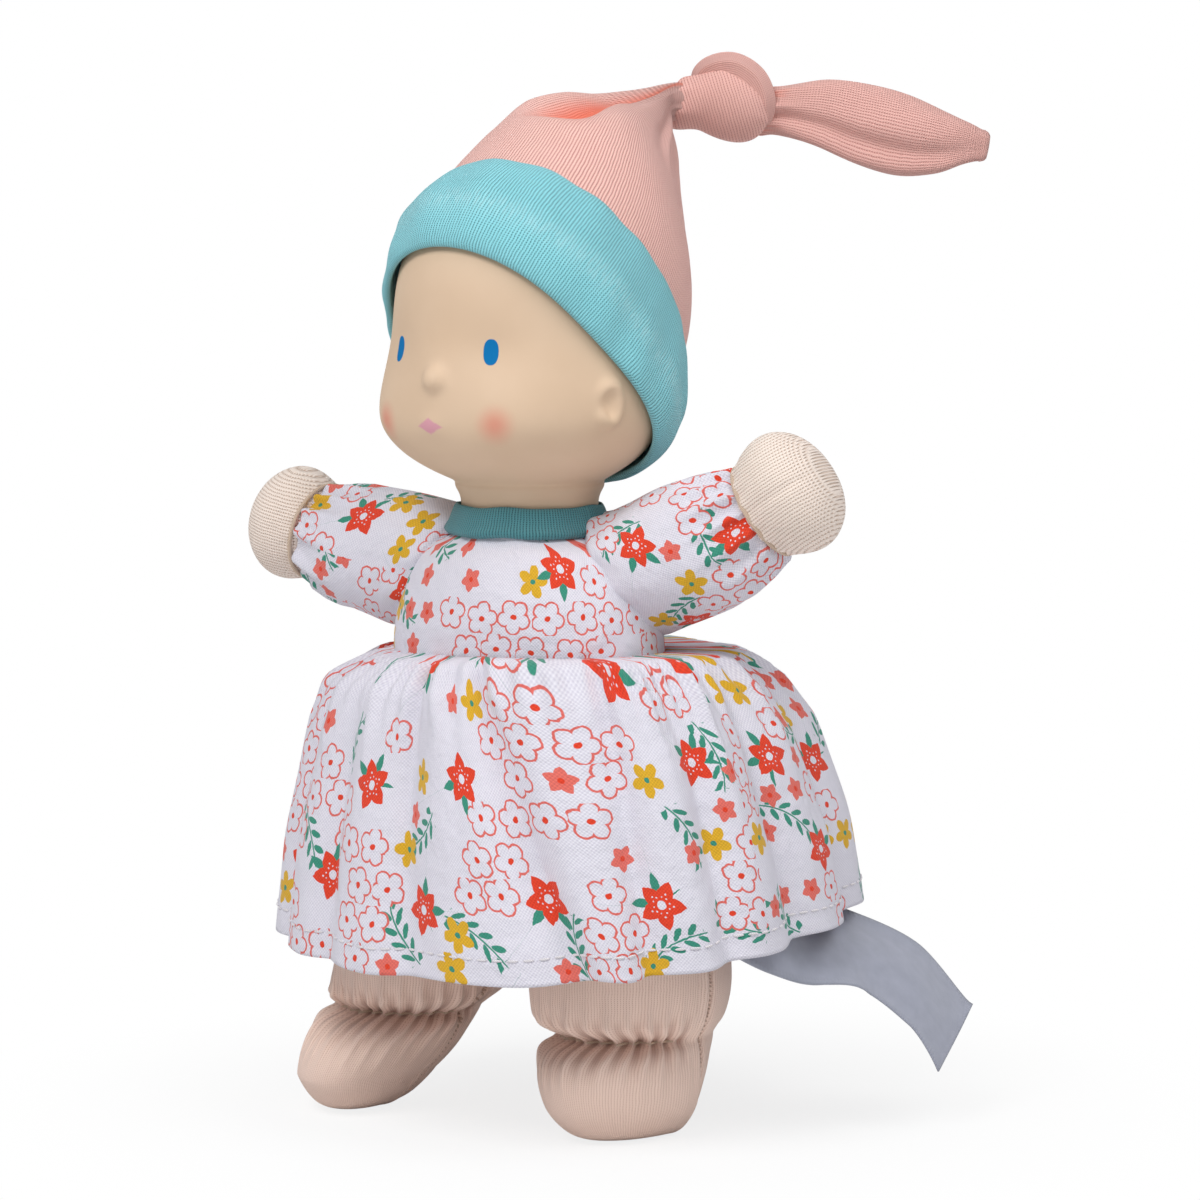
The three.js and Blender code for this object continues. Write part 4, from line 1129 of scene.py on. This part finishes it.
def add_leg_seams(name, side):
    """Overcast stitches down both side seams, from under the skirt to the sole"""
    share = np.tile(np.linspace(0.16, 0.86, 52), 2)
    turned = np.repeat([0, 1], 52)

    def on_seam(share, aside=0.0):
        front, back = through(leg_stations, share)[2:]
        angle = np.arcsin((SEAM_SETBACK[side] + aside) / np.where(SEAM_SETBACK[side] > 0, back, front))
        return leg_points(side, np.where(turned, pi - angle, angle), share, 0.35)

    here, ahead, below = on_seam(share), on_seam(share + 0.004, 0.5), on_seam(share + 0.02)
    thread = spun_thread(f"{name}_seam_thread", "#cfae9b")
    stitches = add_stitches(f"{name}_leg_seams", here, ahead, below, thread, 1.7)
    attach(stitches, f"{name}_leg")


def add_ankle_thread(name, side):
    """The gathering thread drawn tight across the front of the ankle, in and out of the knit"""
    steps = np.arange(61)
    weave = 0.15 + 0.5 * sin(steps * 1.35)
    path = metres(leg_points(side, radians(188 + 164 * steps / 60), np.full(61, ANKLE_SHARE), weave))
    line = bpy.data.curves.new(f"{name}_ankle_gather_thread", "CURVE")
    line.dimensions = "3D"
    line.bevel_depth = 0.3 * MM
    line.bevel_resolution = 2
    spline = line.splines.new("POLY")
    spline.points.add(len(path) - 1)
    for point, spot in zip(spline.points, path):
        point.co = (*spot, 1)
    thread = bpy.data.objects.new(line.name, line)
    bpy.context.collection.objects.link(thread)
    select_only(thread)
    bpy.ops.object.convert(target="MESH")
    thread = bpy.context.object
    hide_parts(f"{name}_ankle_thread")
    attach(thread, f"{name}_leg")
    finished(thread, "sewing_thread")


def add_seat():
    """The lower body, a barrel of knit across the doll about which it folds"""
    stations = [
        (0, 1, 0), (0.06, 0.995, 0.3), (0.12, 0.96, 0.6), (0.2, 0.86, 0.87), (0.3, 0.7, 0.99), (0.5, 0, 1),
        (0.7, -0.7, 0.99), (0.8, -0.86, 0.87), (0.88, -0.96, 0.6), (0.94, -0.995, 0.3), (1, -1, 0),
    ]

    def place(u, v):
        angle = 2 * pi * u
        across, round_way = through(stations, v)
        size = np.maximum(round_way, 0) * SEAT_RADIUS * (1 - 0.05 * bump_at(across, 0.06))
        return np.stack([across * SEAT_REACH, size * cos(angle), HIP + size * sin(angle)], 1)

    seat = cloth("seat_knit", 64, 60, place, (140, 98))
    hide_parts("seat", "seat_stuffing")
    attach(seat, "seat")
    finished(seat, "leg_knit")


# Hat. Its own directions: x to the doll's left, y back and down, z out of the crown.
HAT_TILT = radians(50)
hat_x = np.array([1.0, 0, 0])
hat_y = np.array([0, cos(HAT_TILT), -sin(HAT_TILT)])
hat_z = np.array([0, sin(HAT_TILT), cos(HAT_TILT)])


def head_reach(angle, height):
    """How far the head reaches from the hat's axis, at an angle round it and a height along it"""
    near, far = np.zeros_like(angle), np.full_like(angle, 60.0)
    for _ in range(26):
        radius = (near + far) / 2
        spot = hat_point(angle, height, radius)
        half, front, back = head_ring(np.clip(spot[:, 2], HEAD_FOOT, HEAD_TOP))
        deep = np.where(spot[:, 1] < 0, front, back)
        inside = (spot[:, 0] / half) ** 2 + (spot[:, 1] / deep) ** 2 < 1
        inside &= (spot[:, 2] < HEAD_TOP) & (spot[:, 2] > HEAD_FOOT)
        near, far = np.where(inside, radius, near), np.where(inside, far, radius)
    return (near + far) / 2


def hat_point(angle, height, radius, shift=0.0):
    """Points at an angle, a height and a radius from the hat's axis, moved along its y by a shift"""
    return (HAT_MIDDLE + hat_x * (radius * cos(angle))[:, None]
            + hat_y * (radius * sin(angle) + shift)[:, None] + hat_z * height[:, None])


# Round the cuff's section: a share of the way, the height over its foot, how far out from the head
CUFF_FOOT = -10.5
cuff_profile = [
    (0, 2, 0.5), (0.05, 0.6, 0.6), (0.1, 0, 1.5), (0.16, 0.7, 2.5), (0.25, 4, 2.9), (0.36, 10, 2.8),
    (0.44, 13.6, 3.1), (0.5, 16, 3), (0.6, 20, 2.7), (0.7, 24.4, 2.6), (0.76, 26.3, 2.25),
    (0.8, 27, 1.5), (0.85, 26.4, 0.8), (0.92, 18, 0.6), (1, 2, 0.5),
]


def soft_reach(angle, height):
    """How far the head reaches from the hat's axis, without its corners"""
    turns = np.arange(72) * (2 * pi / 72)
    levels = np.linspace(-14, 20, 18)
    waves = np.fft.rfft([head_reach(turns, np.full(72, level)) for level in levels])
    waves[:, 7:] = 0
    rows = np.fft.irfft(waves, 72)
    at_angle = np.array([np.interp(angle, turns, row, period=2 * pi) for row in rows])
    place = np.clip((height - levels[0]) / (levels[1] - levels[0]), 0, len(levels) - 1.001)
    low = place.astype(int)
    point = np.arange(len(angle))
    return lerp(at_angle[low, point], at_angle[low + 1, point], place - low)


def add_hat_cuff():
    """The cuff, rolled up with its lower edge folded over to the inside of the hat"""
    def place(u, v):
        angle = 2 * pi * u
        rise, out = through(cuff_profile, v)
        height = CUFF_FOOT + rise
        reach = soft_reach(angle, height)
        face = (v > 0.14) & (v < 0.78)
        ripple = 0.28 * sin(9 * angle + 0.25 * rise) * sin(5 * angle + 1)
        ripple = ripple + 0.18 * sin(17 * angle + rise * 0.1)
        ripple = ripple + 0.35 * sin(3 * angle + 2) * bump_at(rise - 13, 3)
        return hat_point(angle, height, reach + out + np.where(face, ripple, 0.0))

    cuff = cloth("hat_cuff", 200, 72, place, (224.64, 58), (0, -8))
    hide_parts("hat_brim")
    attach(cuff, "hat")
    finished(cuff, "turquoise_rib_knit")


CROWN_FOOT = 13.5
CROWN_END = 69.3
CROWN_NARROW = 5.6
CROWN_NECK = 4.9
CROWN_SAG = 9

# Up the crown: a share of its height, its width as a share of the cuff's, and how far it sags
crown_stations = [
    (0, 1, 0), (0.16, 0.955, 0.2), (0.32, 0.86, 0.55), (0.5, 0.68, 0.95), (0.66, 0.48, 1.15),
    (0.8, 0.31, 1), (0.91, 0.2, 0.7), (1, 0.125, 0.45),
]


def add_hat_crown():
    """The crown, which sags behind the pocket in its front and runs into the knot"""
    def place(u, v):
        angle = 2 * pi * u
        width, sag = through(crown_stations, v)
        base = soft_reach(angle, np.full_like(angle, 15.8)) + 2.1
        radius = base * width
        narrow = ease((v - 0.45) / 0.5)
        radius = lerp(radius, CROWN_NARROW + (radius - CROWN_NARROW) * 0.9, narrow)
        folds = 0.05 * crease(9 * angle + 0.8 * sin(2 * angle)) + 0.035 * cos(17 * angle + 1)
        radius = radius * (1 + folds * narrow * 1.5)
        pocket = ease((v - 0.3) / 0.24) * ease((1.0 - v) / 0.14)
        across = turned_from(angle, POCKET_ANGLE)
        radius = radius * (1 - pocket * 0.42 * bump_at(across, 0.3))
        radius = radius + pocket * (1.8 * bump_at(across + 0.5, 0.18) + 0.8 * bump_at(across - 0.56, 0.3))
        height = lerp(CROWN_FOOT, CROWN_END, v)
        soft = 0.5 * sin(2 * angle + 9 * v) * sin(pi * v)
        spots = hat_point(angle, height, radius + soft, -sag * CROWN_SAG)

        # The end turns into the knot and closes inside it
        neck = CROWN_NECK * ease((1.02 - v) / 0.05) * (1 + 0.5 * folds)
        ahead = 5 * ease((v - 0.86) / 0.14) - 1.4
        middle = tip_place + tip_up * 3.8 + tip_aside * 3.2 + tip_along * ahead[:, None]
        into_knot = around(middle, neck_x, neck_y, neck, neck, angle)
        return lerp(spots, into_knot, ease((v - 0.74) / 0.2)[:, None])

    crown = cloth("hat_crown_knit", 200, 84, place, (CROWN_GIRTH, 62))
    modified(crown, "SOLIDIFY", thickness=0.8 * MM, offset=-1)
    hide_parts("hat_crown")
    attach(crown, "hat")
    finished(crown, "pink_knit")


# The knot and tail, along their own directions from the end of the crown
TAIL_TURN = radians(40)
TAIL_DROOP = radians(10)
tip_place = place_of("hat_tip_flop")
tip_along = np.array([cos(TAIL_TURN) * cos(TAIL_DROOP), sin(TAIL_TURN) * cos(TAIL_DROOP), -sin(TAIL_DROOP)])
tip_aside = np.array([-sin(TAIL_TURN), cos(TAIL_TURN), 0])
tip_up = np.cross(tip_along, tip_aside)

# The hat's own directions across it, turned with its axis into the knot
neck_x, neck_y = [across - (hat_z + tip_along) * (across @ tip_along) / (1 + hat_z @ tip_along)
                  for across in (hat_x, hat_y)]

KNOT_RADIUS = 10.5
KNOT_MIDDLE = np.array([12.1, 5.8, 5.25])
LOBE_TILT = radians(-13)


def tip_point(x, y, z):
    return (tip_place + tip_along * np.asarray(x)[:, None] + tip_aside * np.asarray(y)[:, None]
            + tip_up * np.asarray(z)[:, None])


# The strand that crosses over the knot: a share of its length, its place from the knot's middle, its radius
strand_path = [
    (0, -7.4, 0.4, 3, 0), (0.06, -7.2, -0.2, 4.4, 2.3), (0.2, -5, -1.4, 7.2, 3.1),
    (0.4, -0.4, -2.6, 8.7, 3.3), (0.6, 4.4, -3.4, 7, 3.3), (0.78, 7.4, -3.4, 3.2, 3.1),
    (0.92, 8.2, -2.2, -0.8, 2.8), (0.98, 8, -1.4, -3, 1.8), (1, 7.8, -1.2, -3.6, 0),
]


def add_knot():
    """The front lobe of the knot, and the strand that crosses over it"""
    middle = KNOT_MIDDLE + [-0.9, -1.6, 0.3]

    def lobe(u, v):
        angle, slope = 2 * pi * u, pi * v
        pleat = 1 + 0.07 * crease(7 * angle) * bump_at(v - 0.08, 0.16)
        pleat = pleat + 0.06 * crease(6 * angle) * bump_at(v - 0.94, 0.14)
        size = sin(slope) ** np.where(v < 0.5, 0.42, 0.75) * pleat * (0.98 - 0.04 * cos(slope))
        x = -cos(slope) * (12 + 0.8 * cos(slope))
        y = 7.6 * size * cos(angle)
        z = 8.3 * size * sin(angle)
        sag = 3.8 * ease((-x - 2) / 9)
        return tip_point(middle[0] + x * cos(LOBE_TILT) - z * sin(LOBE_TILT), middle[1] + y,
                         middle[2] - sag + x * sin(LOBE_TILT) + z * cos(LOBE_TILT))

    def strand(u, v):
        angle = 2 * pi * u
        x, y, z, thick = through(strand_path, v)
        after, before = (through(strand_path, np.clip(v + step, 0, 1)) for step in (0.01, -0.01))
        ahead = unit((after - before)[:3].T)
        side = unit(np.cross(ahead, [0, 1.0, 0]))
        size = thick * (1 + 0.06 * crease(6 * angle + 2 * v))
        centre = np.stack([x, y, z], 1) + KNOT_MIDDLE
        return tip_point(*around(centre, side, np.cross(side, ahead), size, size, angle).T)

    front = cloth("knot_lobe", 72, 40, lobe, (54.6, 32), (39, 14))
    over = cloth("knot_strand", 60, 90, strand, (31.2, 44), (93.6, 14))
    lay_flat(front, tip_along * 0.9 + tip_up * 0.44, tip_up * 0.9 - tip_along * 0.44)
    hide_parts("hat_knot")
    for piece in (front, over):
        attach(piece, "hat_tip")
        finished(piece, "pink_knit", tail_knit)


# The tail: a share of its length, the place along it, half its width and its height, and its lift
TAIL_LENGTH = 52.3
tail_stations = [
    (0, -2, 1.5, 2.4, 0), (0.06, -1, 3.4, 5, 0.1), (0.14, 3, 4, 5.4, 0.3), (0.28, 12, 4.6, 7.6, 0.3),
    (0.44, 22, 4.8, 9.3, -0.2), (0.6, 32, 4.5, 9.4, -0.4), (0.76, 41, 3.8, 7.3, -0.2),
    (0.88, 47, 3, 4.8, 0.2), (0.95, 50.6, 2.6, 3.4, 0.3), (0.985, 52, 2.2, 2.9, 0.3),
    (1, TAIL_LENGTH, 0.4, 1.2, 0.3),
]


def add_tail():
    start = KNOT_MIDDLE[0] + KNOT_RADIUS - 1.0

    def place(u, v):
        angle = 2 * pi * u
        along, wide, tall, lift = through(tail_stations, v)
        crossing = turned_from(angle, 205)
        groove = 2 * bump_at(crossing, 0.3) * sin(pi * np.clip(v * 1.15, 0, 1))
        ridge = 0.9 * bump_at(crossing - 0.55, 0.3) * sin(pi * v)
        pleats = 0.5 * crease(8 * angle + 1) * ease((0.3 - v) / 0.25)
        end_seam = 0.35 * bump_at(v - 0.955, 0.012)
        out = ridge - groove + pleats + end_seam + 0.35 * sin(3 * angle + 8 * v)
        scale = np.minimum(wide / 3, 1)
        y = (wide + out * scale) * cos(angle)
        z = (tall + out * scale) * sin(angle)
        bow = 1.5 * sin(pi * along / TAIL_LENGTH)
        sway = 0.6 * sin(2.4 * v)
        return tip_point(start + along, KNOT_MIDDLE[1] + y + sway, KNOT_MIDDLE[2] + z + lift * 3 + bow)

    tail = cloth("hat_tail_knit", 80, 84, place, (52, 58), (140, 0))
    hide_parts("hat_tail")
    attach(tail, "hat_tip")
    finished(tail, "pink_knit", tail_knit)


# Care label: a blank ribbon, folded double, that twists out from under the hem
# Along it: a share of its length, its place as shares of the skirt's reach, its height over the hem, its lean
label_stations = [
    (0, 0.864, 0.024, 15, 0.1), (0.2, 0.879, 0.159, 7, 0.6), (0.4, 0.864, 0.329, 0, 2.2),
    (0.6, 0.932, 0.512, -4.5, 2.1), (0.8, 1.045, 0.659, -13.5, 1.5), (1, 1.129, 0.75, -26.5, 1),
]
LABEL_WIDTH = 30
LABEL_LENGTH = 78


def add_label():
    def middle(v):
        wide, deep, rise, lean = through(label_stations, v)
        return np.stack([wide * SKIRT_HALF, deep * SKIRT_BACK, HEM + rise], 1), lean

    def place(u, v):
        spot, lean = middle(v)
        ahead = middle(np.minimum(v + 0.01, 1))[0] - middle(np.maximum(v - 0.01, 0))[0]
        tangent = unit(ahead)
        width = UPRIGHT - towards_camera * lean[:, None]
        width = unit(width - tangent * (width * tangent).sum(1)[:, None])
        normal = np.cross(tangent, width)
        curl = 0.8 * sin(pi * v) * cos(2 * pi * (u - 0.5)) + 0.5 * sin(6 * v + 2 * u)
        return spot + width * ((u - 0.5) * LABEL_WIDTH)[:, None] + normal * curl[:, None]

    label = cloth("care_label_ribbon", 30, 78, place, (LABEL_WIDTH, LABEL_LENGTH), closed=False)
    modified(label, "SOLIDIFY", thickness=0.35 * MM, offset=0)
    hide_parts("care_label")
    skirt_blend(label)
    finished(label, "satin_ribbon")


# Stage: a pale floor that keeps the doll's shadow and turns into the white background
WHITE = (1, 1, 1, 1)


def add_stage():
    deselect()
    bpy.ops.mesh.primitive_plane_add(size=12, location=(0, 0, -0.0002))
    floor = bpy.context.object
    floor.name = "floor"
    finish = Finish("floor")
    x, y, _ = finish.parts(finish.object_place())
    grain = finish.noise(finish.object_place(), 3, 1)
    paper = finish.mix(grain * 0.3, rgb("#f6f6f6"), rgb("#f9f9f9"))
    lit = finish.node("BsdfDiffuse", sockets={"Color": paper})
    white = finish.node("Emission", sockets={"Color": WHITE, "Strength": 1.0})
    share = finish.seen() * (finish.ease(finish.length(x, y), 0.02, 0.16) * 0.2 + 0.8)
    finish.output(finish.node("MixShader", sockets={0: share, 1: lit, 2: white}))
    floor.data.materials.append(finish.made)


def add_lights():
    """A soft sky that looks white itself, and three lamps"""
    sky = Finish("studio", bpy.data.worlds)
    bpy.context.scene.world = sky.made
    light = sky.node("Background", sockets={"Color": (0.93, 0.96, 1, 1), "Strength": 0.31})
    white = sky.node("Background", sockets={"Color": WHITE, "Strength": 1.0})
    sky.output(sky.node("MixShader", sockets={0: sky.seen(), 1: light, 2: white}), "World")

    # Each lamp's place to the picture's right, towards the camera and up, its power and its size
    for name, sideways, ahead, high, power, size in (
        ("key", -480, 700, 1050, 9.4, 560),
        ("fill", 900, 700, 260, 0.4, 900),
        ("top", 560, 420, 1050, 4.8, 700),
    ):
        spot = picture_right * sideways + towards_camera * ahead + [0, 0, high]
        turn = (Vector(metres([0, 0, 120])) - Vector(metres(spot))).to_track_quat("-Z", "Y").to_euler()
        bpy.ops.object.light_add(type="AREA", location=metres(spot), rotation=turn)
        lamp = bpy.context.object
        lamp.name = name
        lamp.data.energy = power
        lamp.data.shape = "SQUARE"
        lamp.data.size = size * MM


add_stage()
add_lights()
add_head()
add_bodice()
add_collar_binding()
add_skirt()
add_hem_stitches()
for name in ARMS:
    add_sleeve(name)
    add_hand(name)
    add_wrist_thread(name)
for name, side in (("left", 1), ("right", -1)):
    add_leg(name, side)
    add_leg_seams(name, side)
    add_ankle_thread(name, side)
add_seat()
add_hat_cuff()
add_hat_crown()
add_knot()
add_tail()
add_label()

# The CAD nodes that stay get a finish too
hidden_tie = frame["nodes"]["neck_tie"]
hidden_tie.data.materials.clear()
hidden_tie.data.materials.append(slots["sewing_thread"])
